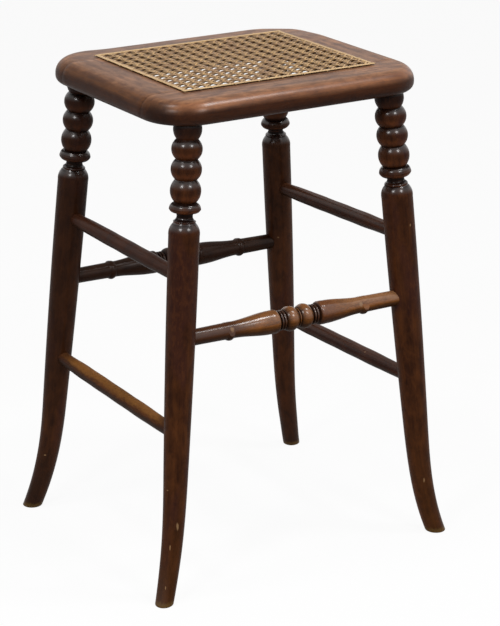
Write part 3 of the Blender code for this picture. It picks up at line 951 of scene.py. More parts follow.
def lay_strand(wave, number, length, middle, heading, chance):
    """One strand, with its middle at (x, y). heading is its angle from Y towards X."""
    strand = copy_of(wave, f"strand_{number}")
    edit(strand)
    push((middle[X], middle[Y] - length / 2, CANE_MIDDLE))
    rotate(heading + chance.uniform(-STRAND_TURN, STRAND_TURN), (*middle, 0))
    stray = chance.uniform(-STRAND_STRAY, STRAND_STRAY)
    push((stray * cos(heading), -stray * sin(heading), 0))
    close_edit()
    give_tone(strand, chance)
    lengthwise = Vector((sin(heading), cos(heading), 0))
    crosswise = Vector((cos(heading), -sin(heading), 0))
    along = [vertex.co.copy() - Vector((*middle, 0)) for vertex in strand.data.vertices]
    lies = [(away.dot(crosswise), away.dot(lengthwise), number) for away in along]
    store(strand, "lie", lies, "FLOAT_VECTOR")
    return strand


def lay_family(name, wave, pitch, count, middles, heading):
    welded = {"use_merge_vertices": True, "merge_threshold": SAME_PLACE}
    modify(wave, "ARRAY", count=count, relative_offset_displace=(0, 1, 0), **welded)
    chance = random.Random(name)
    strands = [
        lay_strand(wave, number, count * pitch, middle, heading, chance)
        for number, middle in enumerate(middles)
    ]
    family = joined(strands, name)
    trim_and_sink(family)
    bpy.data.objects.remove(wave)
    install(family, "cane", "cane_panel")
    return family


def settle(place):
    """The height of a point of the net: sunk in the middle, and pressed flat under the binding."""
    away_x, away_y = min(1, abs(place.x) / OPENING_X), min(1, abs(place.y) / OPENING_Y)
    sunk = SAG * (1 - away_x**2) * (1 - away_y**2)
    inside = min(HOLE_LINE_X - abs(place.x), HOLE_LINE_Y - abs(place.y)) / FLATTENED
    fullness = LEAST_FULLNESS + (1 - LEAST_FULLNESS) * max(0, min(1, inside))
    return CANE_MIDDLE + (place.z - CANE_MIDDLE) * fullness - sunk


def trim_and_sink(family):
    store(family, "rise", [(vertex.co.z - CANE_MIDDLE) / DIAGONAL_RISE for vertex in family.data.vertices])
    edit(family)
    for side in (-1, 1):
        saw((side * HOLE_LINE_X, 0, 0), (side, 0, 0), clear_outer=True)
        saw((0, side * HOLE_LINE_Y, 0), (0, side, 0), clear_outer=True)
    close_edit()
    for vertex in family.data.vertices:
        vertex.co.z = settle(vertex.co)
    modify(family, "SOLIDIFY", thickness=STRAND_THICKNESS, offset=0)
    smooth(family, 50)


def lay_straight(name, sign):
    """The strands on one side of each pair, front to back and side to side."""
    wave = straight_wave(PITCH_Y, sign)
    places = [(number * PITCH_X + sign * PAIR_HALF, 0) for number in COLUMN_NUMBERS]
    upright = lay_family(f"cane_upright_{name}", wave, PITCH_Y, ROWS + 2, places, 0)
    wave = straight_wave(PITCH_X, -sign)
    places = [(0, number * PITCH_Y + sign * PAIR_HALF) for number in ROW_NUMBERS]
    level = lay_family(f"cane_level_{name}", wave, PITCH_X, COLUMNS + 2, places, pi / 2)
    return [upright, level]


def lay_diagonals(name, sign):
    places = [(0, (number + 0.5) * PITCH_Y) for number in DIAGONAL_NUMBERS]
    wave = diagonal_wave(sign)
    return lay_family(f"cane_{name}", wave, CELL_DIAGONAL, 2 * COLUMNS, places, sign * DIAGONAL_HEADING)


cane = lay_straight("a", -1) + lay_straight("b", 1)
cane += [lay_diagonals("rising", 1), lay_diagonals("falling", -1)]

# %% [markdown]
# ## The binding
#
# A wider, paler strip of split rattan covers each row of holes. It is tied down by a thin strand that
# comes up through every second hole, crosses the strip and goes down again, so the strip is pressed in a
# little at each tie and rises between them.

# %% Shape a binding strip
BINDING_WIDTH = 0.0048
BINDING_THICKNESS = 0.0007
BINDING_HEIGHT = 0.63205
BINDING_DOME = 0.00036
BINDING_RISE = 0.00012
BINDING_EDGE_WEAR = 0.00015
BINDING_CELLS = 6  # across the strip
BINDING_OVERRUN = 0.0032  # past the corner hole
TIE_WIDTH = 0.0019
TIE_THICKNESS = 0.0003
TIE_EVERY = 2


def binding_strip(name, half_length, ties):
    """A binding strip along X through the origin, pressed in at the ties."""
    strip = grid(name, (2 * half_length, BINDING_WIDTH), (1, BINDING_CELLS))
    edit(strip)
    middles = [(start + end) / 2 for start, end in zip(ties, ties[1:])]
    for place in ties + middles:
        for step in (-TIE_WIDTH, 0, TIE_WIDTH):
            saw((place + step, 0, 0), (1, 0, 0))
    for line in range(1, BINDING_CELLS):
        across = line / (BINDING_CELLS / 2) - 1
        select_at(strip, Y, across * BINDING_WIDTH / 2)
        push((0, 0, BINDING_DOME * (1 - across**2)))
    for place in middles:
        select_at(strip, X, place, 1.5 * TIE_WIDTH)
        push((0, 0, BINDING_RISE))
    close_edit()
    modify(strip, "SOLIDIFY", thickness=BINDING_THICKNESS, offset=-1)
    rim = {"limit_method": "ANGLE", "angle_limit": radians(50)}
    modify(strip, "BEVEL", width=BINDING_EDGE_WEAR, segments=1, **rim)
    return strip


# %% [markdown]
# A tie is a short band that is bent over the strip. It is laid flat, its ends are turned down past the
# strip's edges, and one is laid at every second hole, a little askew. Each side is made along X at the
# origin and then moved to its place.

# %% Tie the binding down
TIE_LENGTH = 0.0068
TIE_FOOT = 0.0013
TIE_CELLS = 8  # along the band
TIE_DOME = 0.00007
TIE_STRAY = 0.0008
TIE_TURN = 0.12
SIDES = (  # the axis that it runs along, and its distance from the middle
    ("front", X, -HOLE_LINE_Y),
    ("back", X, HOLE_LINE_Y),
    ("left", Y, -HOLE_LINE_X),
    ("right", Y, HOLE_LINE_X),
)


def tie_band():
    """A band along Y over the strip, with its ends turned down."""
    band = grid("band", (TIE_WIDTH, TIE_LENGTH), (2, TIE_CELLS))
    edit(band)
    for line in range(TIE_CELLS + 1):
        across = line / (TIE_CELLS / 2) - 1
        foot = TIE_FOOT if abs(across) == 1 else 0
        select_at(band, Y, across * TIE_LENGTH / 2)
        push((0, -across * foot / 4, -(BINDING_DOME * across**2 + foot)))
    select_at(band, X, 0)
    push((0, 0, TIE_DOME))
    bpy.ops.mesh.select_all(action="SELECT")
    push((0, 0, BINDING_DOME + TIE_THICKNESS))
    close_edit()
    modify(band, "SOLIDIFY", thickness=TIE_THICKNESS, offset=-1)
    return band


def lay_on_side(row, along, line, height):
    """Moves a row that was made along X to its side of the seat."""
    edit(row)
    if along == Y:
        rotate(pi / 2)
    step = [line, line, height]
    step[along] = 0
    push(step)
    close_outward()


def bind_side(side, along, line, chance):
    """The strip and ties of one side."""
    ties = (FRONT_HOLES if along == X else SIDE_HOLES)[1::TIE_EVERY]
    half_length = HOLE_LINE_X + BINDING_OVERRUN if along == X else HOLE_LINE_Y - BINDING_OVERRUN
    name = f"strip_binding_{side}"
    pieces = [binding_strip(name, half_length, ties)]
    for place in ties:
        band = tie_band()
        edit(band)
        rotate(chance.uniform(-TIE_TURN, TIE_TURN))
        push((place + chance.uniform(-TIE_STRAY, TIE_STRAY), 0, 0))
        close_edit()
        give_tone(band, chance)
        pieces.append(band)
    give_tone(pieces[0], chance)
    strip = joined(pieces, name)
    lay_on_side(strip, along, line, BINDING_HEIGHT)
    smooth(strip, 40)
    install(strip, "binding_cane", f"binding_{side}")
    return strip


chance = random.Random("binding")
binding = [bind_side(*side, chance) for side in SIDES]

# %% [markdown]
# ## The cane under the rails
#
# From below, each strand comes out of one hole, runs along the rail and goes up the next. These loops are
# one small shape: a straight strand whose ends are extruded up into the holes. It is laid from hole to
# hole, two side by side.

# %% Thread the loops
LOOP_DEPTH = 0.012  # how far a loop is modelled up its holes
LOOP_WIDTH = 0.0021
LOOP_THICKNESS = 0.0005
LOOP_BEND = (0.0008, 0.0007)  # along and up, where a loop turns into its hole
LOOP_LEAN = 0.0002
LOOP_TURN = 0.02
LOOP_PAIR_HALF = 0.00115


def loop_band(span):
    """A loop along X, from a hole at -span / 2 to one at span / 2, under a rail at height zero."""
    band = grid("loop", (span - HOLE_RADIUS, LOOP_WIDTH), (4, 2))
    edit(band)
    for side in (-1, 1):
        select_at(band, X, side * (span - HOLE_RADIUS) / 2)
        for out, up in (LOOP_BEND, (LOOP_LEAN, LOOP_DEPTH)):
            bpy.ops.mesh.extrude_region_move(TRANSFORM_OT_translate={"value": (side * out, 0, up)})
    select_edges(band, lambda end: abs(end.y) < SAME_PLACE and end.z < SAME_PLACE)
    push((0, 0, -STRAND_DOME))
    bpy.ops.mesh.select_all(action="SELECT")
    push((0, 0, -LOOP_THICKNESS))
    close_edit()
    modify(band, "SOLIDIFY", thickness=LOOP_THICKNESS, offset=1)
    return band


def thread_side(side, along, line, chance):
    """The loops under one row of holes."""
    inner, end_hole = (FRONT_HOLES, HOLE_LINE_X) if along == X else (SIDE_HOLES, HOLE_LINE_Y)
    holes = [-end_hole, *inner, end_hole]
    loops = []
    for start, end in zip(holes, holes[1:]):
        for sign in (-1, 1):
            loop = loop_band(end - start)
            edit(loop)
            rotate(chance.uniform(-LOOP_TURN, LOOP_TURN))
            push(((start + end) / 2, sign * LOOP_PAIR_HALF, 0))
            close_edit()
            give_tone(loop, chance)
            loops.append(loop)
    row = joined(loops, f"loops_{side}")
    lay_on_side(row, along, line, SEAT_UNDERSIDE)
    smooth(row, 50)
    install(row, "cane")
    return row


chance = random.Random("loops")
loops = [thread_side(*side, chance) for side in SIDES]

# %% [markdown]
# ## Finishes
#
# Every surface is worked out from patterns, never from a picture. Shader maths is easier to read as
# Python, so one small class wraps a node's output and adds a Math node for each operator. One method
# makes every node.


# %% Helper for shader maths
class Wire:
    """The output of a node, on which Python's operators add Math nodes."""

    def __init__(self, tree, socket):
        self.tree = tree
        self.socket = socket

    def math(self, operation, *values):
        return self.tree.add("Math", {"operation": operation}, dict(enumerate(values)))

    def vector(self, operation, other, output=0):
        return self.tree.add("VectorMath", {"operation": operation}, {0: self, 1: other}, output=output)

    def __add__(self, other):
        return self.math("ADD", self, other)

    def __sub__(self, other):
        return self.math("SUBTRACT", self, other)

    def __rsub__(self, other):
        return self.math("SUBTRACT", other, self)

    def __mul__(self, other):
        return self.math("MULTIPLY", self, other)

    def __abs__(self):
        return self.math("ABSOLUTE", self)

    __radd__ = __add__
    __rmul__ = __mul__

    def largest(self, other):
        return self.math("MAXIMUM", self, other)

    def ramp(self, low, high):
        """From 0 at low to 1 at high, eased at both ends. low may be the larger."""
        if low > high:
            return 1 - self.ramp(high, low)
        settings = {"interpolation_type": "SMOOTHSTEP"}
        return self.tree.add("MapRange", settings, {"Value": self, "From Min": low, "From Max": high})

    def at(self, offset, scale):
        """A vector, moved and then scaled."""
        return self.vector("ADD", offset).vector("MULTIPLY", scale)

    def part(self, axis):
        """One number of a vector."""
        return self.tree.add("SeparateXYZ", {}, {0: self}, output=axis)

    def distance(self, place):
        return self.vector("DISTANCE", place, output=1)

    def along(self, direction):
        return self.vector("DOT_PRODUCT", direction, output=1)


# %% Helpers for finishes
class NodeTree:
    """The nodes of a material or a world."""

    def __init__(self, owner):
        owner.use_nodes = True
        self.nodes, self.links = owner.node_tree.nodes, owner.node_tree.links

    def add(self, kind, settings, values, output=0):
        """Adds a node. Its settings come first, because they decide which sockets it has."""
        node = self.nodes.new(f"ShaderNode{kind}")
        for setting, value in settings.items():
            setattr(node, setting, value)
        self.join(node, values)
        return Wire(self, node.outputs[output])

    def join(self, node, values):
        for socket, value in values.items():
            if isinstance(value, Wire):
                self.links.new(value.socket, node.inputs[socket])
            else:
                node.inputs[socket].default_value = value

    def looked_at(self):
        """1 where something is seen itself, in a gloss or through glass, and 0 where it only gives light."""
        seen, glossy, passing = (
            self.add("LightPath", {}, {}, output=f"Is {ray} Ray")
            for ray in ("Camera", "Glossy", "Transmission")
        )
        return seen.largest(glossy).largest(passing)


class Finish(NodeTree):
    """A material with a Principled shader."""

    def __init__(self, name, **values):
        self.material = bpy.data.materials.new(name)
        super().__init__(self.material)
        self.shader = self.nodes["Principled BSDF"]
        self.set(**values)

    def set(self, **values):
        """Sets or links sockets of the shader."""
        self.join(self.shader, {socket.replace("_", " "): value for socket, value in values.items()})

    def stored(self, name, output="Fac"):
        return self.add("Attribute", {"attribute_name": name}, {}, output=output)

    def place(self):
        return self.add("TexCoord", {}, {}, output="Object")

    def facing(self, axis):
        """How far the surface faces along an axis, from -1 to 1."""
        return self.add("NewGeometry", {}, {}, output="Normal").part(axis)

    def noise(self, vector, detail, roughness, warp=0):
        values = {"Vector": vector, "Scale": 1, "Distortion": warp}
        return self.add("TexNoise", {}, values | {"Detail": detail, "Roughness": roughness})

    def mix(self, factor, first, second, blend="MIX"):
        """Two colours, mixed. A colour is a wire or three numbers."""
        first, second = (value if isinstance(value, Wire) else (*value, 1) for value in (first, second))
        settings = {"data_type": "RGBA", "blend_type": blend}
        return self.add("Mix", settings, {0: factor, 6: first, 7: second}, output=2)

    def paint(self, tone, *coats):
        """A tone under coats, each given by how much of it there is and its colour."""
        for share, colour in coats:
            tone = self.mix(share, tone, colour)
        return tone

    def bump(self, height, distance):
        """Relief from a height of 0 to 1, with the height of 1 in metres."""
        self.set(Normal=self.add("Bump", {}, {"Height": height, "Distance": distance}))


def dress(material, pieces):
    """Gives pieces a finish in place of any they had."""
    for piece in pieces:
        piece.data.materials.clear()
        piece.data.materials.append(material)
    print(material.name, "on", len(pieces), "pieces,", len(material.node_tree.nodes), "nodes")


# %% [markdown]
# The wood is mahogany, stained dark and polished. Its figure is streaks some millimetres wide and a hand
# long, and on these lie fine dark pores, which are short open lines along the grain. Both are noise that
# is stretched along the grain. The class below gives them for any direction, and each piece then gets its
# own colours, wear and gloss.


# %% Wood figure
class Wood:
    """The figure, pores and cloudiness of one wood, along one axis of a place vector."""

    def __init__(self, finish, place, along):
        def pattern(shift, across, lengthwise, *noise):
            """Noise with features this wide and this long, in metres."""
            scale = tuple(1 / (lengthwise if axis == along else across) for axis in (X, Y, Z))
            return finish.noise(place.at(shift, scale), *noise)

        self.streaks = pattern((0, 0, 0), 0.0067, 0.170, 5, 0.6, 0.3)
        self.fibres = pattern((3, 1, 2), 0.0011, 0.040, 3, 0.6)
        self.pores = pattern((5, 2, 4), 0.00042, 0.0045, 1, 0.5).ramp(0.60, 0.72)
        self.clouds = pattern((1, 4, 3), 0.032, 0.090, 2, 0.5)
        self.scuffs = pattern((2, 2, 7), 0.004, 0.009, 5, 0.65)
        self.blotches = pattern((6, 3, 1), 0.010, 0.022, 4, 0.6, 0.4)

    def figure(self, streaks, blotches, share):
        """Streaks and blotches, each between two levels, with this share of streaks."""
        return self.streaks.ramp(*streaks) * share + self.blotches.ramp(*blotches) * (1 - share)


SPOT_RAGGEDNESS = 1.6
SPOT_CORE = 0.45  # the share of its radius in which a spot is whole


def spots(place, centres, ragged):
    """1 in small ragged spots. Each is a centre, a radius and how many times as tall as wide."""
    mask = None
    for centre, radius, taller in centres:
        away = place.at(tuple(-number for number in centre), (1, 1, 1 / taller))
        reach = away.distance((0, 0, 0)) + (ragged - 0.5) * radius * SPOT_RAGGEDNESS
        spot = reach.ramp(radius, radius * SPOT_CORE)
        mask = spot if mask is None else mask.largest(spot)
    return mask


def scaled(colour, factor):
    return tuple(factor * number for number in colour)


# %% [markdown]
# The legs are the darkest wood. Dirt and old polish fill the grooves between the balls, with painted
# shade laid in them too, and the high points are rubbed to a warmer red. Towards the floor, shoes and
# brooms have worn the stain to a yellower brown. Pale dings are set where the old stool has them. Light
# and shade are painted as well: shade on the upper legs, on the dirty ring under the seat, on the
# up-facing sides of the turnings and on the back left leg, lighter orange on the down-facing halves of
# the balls, and a purple reflection in cloudy patches. Coats of colour are laid over each other, each
# where a pattern says.

# %% Leg finish
LEG_DINGS = (  # where, radius, how many times as tall as wide
    ((-0.1984, -0.1643, 0.1463), 0.0022, 0.5),
    ((-0.1912, -0.1772, 0.1011), 0.0020, 3),
    ((-0.2017, -0.1762, 0.0753), 0.0012, 4),
    ((-0.2125, -0.1829, 0.0261), 0.0010, 6),
    ((-0.2016, 0.1556, 0.0792), 0.0019, 0.6),
    ((0.1567, 0.1336, 0.3340), 0.0019, 1),
    ((0.1866, -0.1784, 0.0774), 0.0016, 3),
    ((0.1637, -0.1616, 0.4292), 0.0013, 2),
)


def leg_finish():
    finish = Finish("leg_mahogany", Specular_IOR_Level=0.03, Coat_Roughness=0.23)
    wood = Wood(finish, finish.stored("lathe", "Vector"), Z)
    hollow = finish.stored("hollow")
    place = finish.place()
    height = place.part(Z)
    up = finish.facing(Z)
    above = up.ramp(0.18, 0.58)
    below = up.ramp(0.04, -0.35)
    dirt = hollow.ramp(0.58, 0.88)
    behind = place.part(Y).ramp(-0.05, 0.10)
    far_left = behind * place.part(X).ramp(0, -0.10) * height.ramp(0.10, 0.25)
    low = (height + wood.clouds * 0.10 + wood.blotches * 0.05).ramp(0.26, 0.05)
    worn_low = low * (0.36 - 0.34 * behind)
    rubbed = (wood.scuffs * 0.6 + wood.clouds * 0.4).ramp(0.54, 0.66) * (1 - dirt)
    bare_rim = (height + (wood.scuffs - 0.5) * 0.010).ramp(0.009, 0.003)
    dings = spots(place, LEG_DINGS, wood.scuffs)
    figure = wood.figure((0.25, 0.77), (0.30, 0.70), 0.45)
    tone = finish.paint(
        finish.mix(figure, (0.016, 0.0036, 0.0011), (0.096, 0.0300, 0.0080)),
        (wood.fibres.ramp(0.35, 0.75) * 0.15, (0.110, 0.0330, 0.0090)),
        # Painted reflection: a purple sheen laid into the colour in cloudy patches.
        (wood.clouds.ramp(0.50, 0.64) * 0.45, (0.044, 0.0135, 0.0120)),
        (worn_low, (0.092, 0.0320, 0.0055)),
        # Painted light: the down-facing halves of the turnings are lighter and more orange.
        (below * wood.blotches.ramp(0.25, 0.65) * 0.6, (0.140, 0.0380, 0.0110)),
        # Painted shade on the up-facing sides of the turnings.
        (above * 0.5, (0.016, 0.0052, 0.0036)),
        # Painted shade under the seat, on the upper legs.
        (height.ramp(0.24, 0.52) * (1 - below) * 0.35, (0.012, 0.0032, 0.0018)),
        # The ring under the seat is darkened by dirt and painted shade.
        (height.ramp(0.572, 0.590) * 0.75, (0.009, 0.0032, 0.0022)),
        (rubbed * 0.3, (0.120, 0.0380, 0.0120)),
        (height.ramp(0.12, 0.02) * behind * 0.5, (0.012, 0.0065, 0.0040)),
        (behind * 0.20, (0.046, 0.0230, 0.0150)),
        # Painted shade on the back left leg, above its foot.
        (far_left * 0.42, (0.006, 0.0016, 0.0006)),
        (bare_rim * 0.7, (0.150, 0.0840, 0.0240)),
        # Dirt and painted shade darken the grooves.
        (hollow.ramp(0.15, 0.80) * 0.88, (0.0050, 0.0020, 0.0014)),
        (wood.pores * 0.35, (0.0080, 0.0026, 0.0012)),
        (dings * 0.8, (0.330, 0.190, 0.090)),
    )
    finish.set(
        Base_Color=tone,
        Roughness=0.36 + 0.20 * wood.scuffs + 0.20 * hollow + 0.25 * dings,
        Coat_Weight=0.06 + 0.86 * above * (1 - dirt),
    )
    finish.bump(wood.pores * -0.5 + wood.fibres * 0.3 + wood.scuffs * 0.5, 0.00018)
    return finish.material


dress(leg_finish(), legs)

# %% [markdown]
# The stretchers and rungs are the same wood, but shoes rest on them. Their tops are scuffed through the
# stain to a pale, dull brown, most of all on the front stretcher, where one end is nearly bare and the
# other is dark again, and their undersides are still dark, with painted shade laid on them. Dirt and
# painted shade darken the grooves and the zone of the fine rings. One function makes all six finishes,
# from a list of what differs.

# %% Stretcher and rung finish
RING_ZONE = (0.0186, 0.0200, 0.0290, 0.0302)  # where the fine rings lie, from the middle, with soft ends


def rod_finish(
    name,
    worn,  # how much of the top is scuffed
    scuff_colour,
    dark,
    light,
    polished=0,
    dings=(),
    dark_ends=(),  # each a direction, and from where to where along it the wood turns dark
    bare_end=None,  # the same for a bare end
    # the dark underside is the stain with painted shade laid on it
    underside=(0.15, -0.55),  # which way a face looks where the dark underside starts, and where it is full
):
    finish = Finish(name, Specular_IOR_Level=0.03, Coat_Roughness=0.25)
    lathe = finish.stored("lathe", "Vector")
    wood = Wood(finish, lathe, Z)
    hollow = finish.stored("hollow")
    place = finish.place()
    upward = finish.facing(Z) - 0.25 * finish.facing(Y)
    bare_coats = []
    if bare_end:
        direction, start, full = bare_end
        out = place.along(direction)
        worn = out.ramp(start, full) * (0.95 - worn) + worn
        ragged = out + (wood.blotches - 0.5) * 0.03
        ruddy = out.ramp(0.024, 0.030) * ragged.ramp(start + 0.020, start - 0.010)
        bare_coats = [(ruddy * 0.6, (0.110, 0.0330, 0.0130))]
    scuffed = (upward + (wood.scuffs - 0.5) * 1.1 + (wood.clouds - 0.5) * 0.9).ramp(0.30, 0.95) * worn
    scuffed = scuffed * (1 - 0.7 * hollow)
    near_legs = [
        (place.along(direction) + (wood.blotches - 0.5) * 0.05).ramp(start, full)
        for direction, start, full in dark_ends
    ]
    out = abs(lathe.part(Z))
    rings = out.ramp(*RING_ZONE[:2]) * out.ramp(*RING_ZONE[:1:-1])
    below = (finish.facing(Z) + (wood.scuffs - 0.5) * 0.25).ramp(*underside)
    figure = wood.figure((0.34, 0.66), (0.34, 0.66), 0.5)
    tone = finish.paint(
        finish.mix(figure, dark, light),
        (wood.fibres.ramp(0.35, 0.75) * 0.35, scaled(light, 1.4)),
        (scuffed, scuff_colour),
        *((near_leg * 0.8, (0.0360, 0.0110, 0.0060)) for near_leg in near_legs),
        *bare_coats,
        # Dirt and painted shade darken the zone of the fine rings; every polished rod gets it, the rungs
        # too.
        (rings * (0.8 if polished else 0), (0.0300, 0.0120, 0.0080)),
        # The undersides keep their dark stain and get painted shade.
        (below * 0.85, (0.0220, 0.0078, 0.0026)),
        # Dirt and painted shade darken the grooves.
        (hollow.ramp(0.05, 0.7) * 0.8, (0.0090, 0.0042, 0.0030)),
        (wood.pores * 0.5, (0.0140, 0.0065, 0.0040)),
    )
    if dings:
        tone = finish.mix(spots(place, dings, wood.scuffs) * 0.7, tone, (0.300, 0.170, 0.085))
    gloss = polished * upward.ramp(0.18, 0.60) * upward.ramp(1.03, 0.90)
    finish.set(
        Base_Color=tone,
        Roughness=0.38 + 0.18 * wood.scuffs + 0.22 * scuffed,
        Coat_Weight=(0.05 + gloss * (1 - 0.35 * sum(near_legs))) * (1 - hollow),
    )
    finish.bump(wood.pores * -0.6 + wood.fibres * 0.5 + wood.scuffs * 0.5, 0.00013)
    return finish.material


# %% Dress the stretchers and rungs
SCAR_WAY = Vector((0, -0.92, 0.38))  # from the stem's axis, how the broken beads' scars lie
SCAR_SHIFT = 0.004


def bead_scars(node):
    """A small bare spot beside each bead of the front stretcher, where the bead has broken away."""
    start, end = rod_ends(node)
    along = (start - end).normalized()
    middle = (start + end) / 2 + SCAR_WAY * STEM_RADIUS + along * SCAR_SHIFT
    return [(tuple(middle + along * side * STEM_END), 0.0032, 1.3) for side in (-1, 1)]


ROD_FINISHES = {  # how worn, and the colours of worn, dark and light wood, then what is special
    "front_stretcher": (
        "stretcher_front",
        (0.40, (0.290, 0.1350, 0.0600), (0.042, 0.0125, 0.0035), (0.255, 0.0880, 0.0170)),
        {
            "polished": 1.2,
            "dings": bead_scars("stretcher_front"),
            "dark_ends": [((-1, 0, 0), 0.060, 0.100)],
            "bare_end": ((1, 0, 0), 0.050, 0.085),
        },
    ),
    "back_stretcher": (
        "stretcher_back",
        (0.3, (0.060, 0.025, 0.012), (0.008, 0.0026, 0.0012), (0.029, 0.0098, 0.0037)),
        {"polished": 0.25},
    ),
    "upper_left_rung": (
        "rung_left_upper",
        (0.2, (0.075, 0.030, 0.015), (0.016, 0.0046, 0.0024), (0.050, 0.0150, 0.0064)),
        {"polished": 0.15},
    ),
    "upper_right_rung": (
        "rung_right_upper",
        (0.3, (0.110, 0.046, 0.022), (0.022, 0.0062, 0.0030), (0.070, 0.0210, 0.0085)),
        {"polished": 0.4},
    ),
    "lower_left_rung": (
        "rung_left_lower",
        (0.8, (0.250, 0.104, 0.026), (0.026, 0.0080, 0.0028), (0.115, 0.0380, 0.0105)),
        {
            "dark_ends": [((0, 1, 0), 0.095, 0.130), ((0, -1, 0), 0.105, 0.140)],
            "underside": (0.42, -0.02),
        },
    ),
    "lower_right_rung": (
        "rung_right_lower",
        (0.3, (0.100, 0.042, 0.020), (0.022, 0.0060, 0.0030), (0.065, 0.0190, 0.0085)),
        {"polished": 0.3, "dings": [((0.1716, -0.0588, 0.2229), 0.0016, 1)]},
    ),
}
for name, (node, tones, special) in ROD_FINISHES.items():
    dress(rod_finish(f"{name}_mahogany", *tones, **special), [rods[node]])

# %% [markdown]
# The seat's flat top is greyed by dust and sun under a thin old polish. On its round edges hands have
# kept the wood a bright orange brown, and its upright faces are nearly as dark as the legs. All three
# tones hang on the way a face looks. The joints of the rails are drawn as a slightly darker zone, because
# dirt gathers there.


# %% Seat finish
def seat_finish(name, along):
    finish = Finish(name, Specular_IOR_Level=0.06, Coat_Roughness=0.30)
    place = finish.place()
    wood = Wood(finish, place, along)
    up = finish.facing(Z)
    left = (place.part(X) + 0.02 * wood.clouds).ramp(-0.135, -0.185)
    unevenness = (wood.clouds - 0.5) * 0.30
    round_edge = (up + unevenness).ramp(0.20, 0.70)
    flat = (up + unevenness * 0.4).ramp(0.80, 0.995)
    grime = wood.clouds.ramp(0.62, 0.42) * flat
    dark_corner = (place.distance((-0.1870, -0.1280, 0.6080)) + wood.scuffs * 0.010).ramp(0.034, 0.014)
    seam = abs(abs(place.part(Y)) - OPENING_Y).ramp(0.0016, 0.0002) * abs(place.part(X)).ramp(0.120, 0.128)
    figure = wood.figure((0.28, 0.74), (0.28, 0.72), 0.55)
    patchy = wood.figure((0.34, 0.68), (0.36, 0.66), 0.45)
    edge = finish.mix(figure, (0.096, 0.0290, 0.0085), (0.285, 0.1080, 0.0360))
    left_edge = finish.mix(figure, (0.045, 0.0140, 0.0038), (0.130, 0.0470, 0.0120))
    tone = finish.paint(
        finish.mix(figure, (0.015, 0.0040, 0.0014), (0.050, 0.0150, 0.0050)),
        (round_edge, finish.mix(left, edge, left_edge)),
        (flat, finish.mix(patchy, (0.086, 0.0340, 0.0170), (0.305, 0.1480, 0.0740))),
    )
    tone = finish.paint(
        tone,
        (wood.fibres.ramp(0.35, 0.75) * 0.3, finish.mix(1, tone, (1.7, 1.6, 1.5), "MULTIPLY")),
        (grime * 0.35, (0.060, 0.0330, 0.0240)),
        (dark_corner * 0.75, (0.0140, 0.0048, 0.0026)),
        (seam * (0.50 - 0.40 * flat), (0.020, 0.0070, 0.0040)),
        (wood.pores * 0.5, (0.0200, 0.0090, 0.0060)),
    )
    gloss = 0.60 * round_edge * (1 - flat) + (0.15 + 0.22 * wood.scuffs) * flat
    finish.set(
        Base_Color=tone,
        Roughness=0.36 + 0.22 * wood.scuffs + 0.10 * flat,
        Coat_Weight=0.06 + gloss * (1 - 0.85 * left),
    )
    finish.bump(wood.pores * -0.7 + wood.fibres * 0.5 + wood.scuffs * 0.5, 0.0002)
    return finish.material


dress(seat_finish("seat_mahogany_long", X), rails[:2])
dress(seat_finish("seat_mahogany_short", Y), rails[2:])

# %% [markdown]
# Split rattan keeps the shiny skin of the vine on its domed side. It is straw brown, each strand of its
# own tone, with fine lines along it, a darker ring where a leaf grew, and age-darkened patches. Where a
# strand dips under the others it is darkened by dirt and painted shade, and sitters keep its high places
# clean. The edges of the strands are darkened by dirt and painted shade, and their down-facing sides by
# painted shade.


# %% Cane finishes
def cane_finish(name, dark, light, stained, rims_and_shade):
    finish = Finish(name, Specular_IOR_Level=0.45)
    lie = finish.stored("lie", "Vector")
    strand = finish.stored("strand")
    lines = finish.noise(lie.at((0, 0, 0), (1 / 0.00035, 1 / 0.030, 7.3)), 3, 0.55)
    patches = finish.noise(lie.at((0, 0, 0), (1 / 0.006, 1 / 0.018, 3.1)), 3, 0.55)
    dirt = finish.noise(finish.place().at((1, 2, 3), scaled((1, 1, 1), 1 / 0.035)), 3, 0.55)
    edge = abs(lie.part(X)).ramp(0.00065, 0.00135) * rims_and_shade
    below = finish.facing(Z).ramp(0.55, -0.2) * rims_and_shade
    low = finish.stored("rise").ramp(0.55, -0.75) * rims_and_shade
    leaf_ring = (lie.part(Y) * 5.5 + strand * 37).math("FRACT").ramp(0.010, 0.004)
    tone = finish.paint(
        finish.mix(strand * 0.55 + patches * 0.45, dark, light),
        (lines.ramp(0.42, 0.70) * 0.45, scaled(dark, 0.55)),
        # Dirt and painted shade in the low crossings, where a strand dips under the others.
        (low * 0.55, (0.110, 0.050, 0.018)),
        # Painted shade on the down-facing sides of the strands, and dark edges from dirt and painted shade.
        (edge.largest(below) * 0.9, (0.060, 0.027, 0.010)),
        (leaf_ring * 0.6, (0.120, 0.060, 0.025)),
        (dirt.ramp(0.50, 0.72) * stained, (0.180, 0.090, 0.040)),
    )
    finish.set(Base_Color=tone, Roughness=0.34 + 0.25 * patches)
    finish.bump(lines, 0.00006)
    return finish.material


dress(cane_finish("cane_strands", (0.270, 0.137, 0.045), (0.700, 0.440, 0.180), 0.60, 1), cane)
dress(cane_finish("cane_loops", (0.270, 0.140, 0.048), (0.560, 0.350, 0.150), 0.55, 0), loops)
dress(cane_finish("cane_binding", (0.430, 0.265, 0.115), (0.600, 0.410, 0.200), 0.35, 0), binding)

# %% [markdown]
# The dowels in the joints and the pegs in the corner holes are pale birch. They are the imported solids
# themselves, and only get a finish.


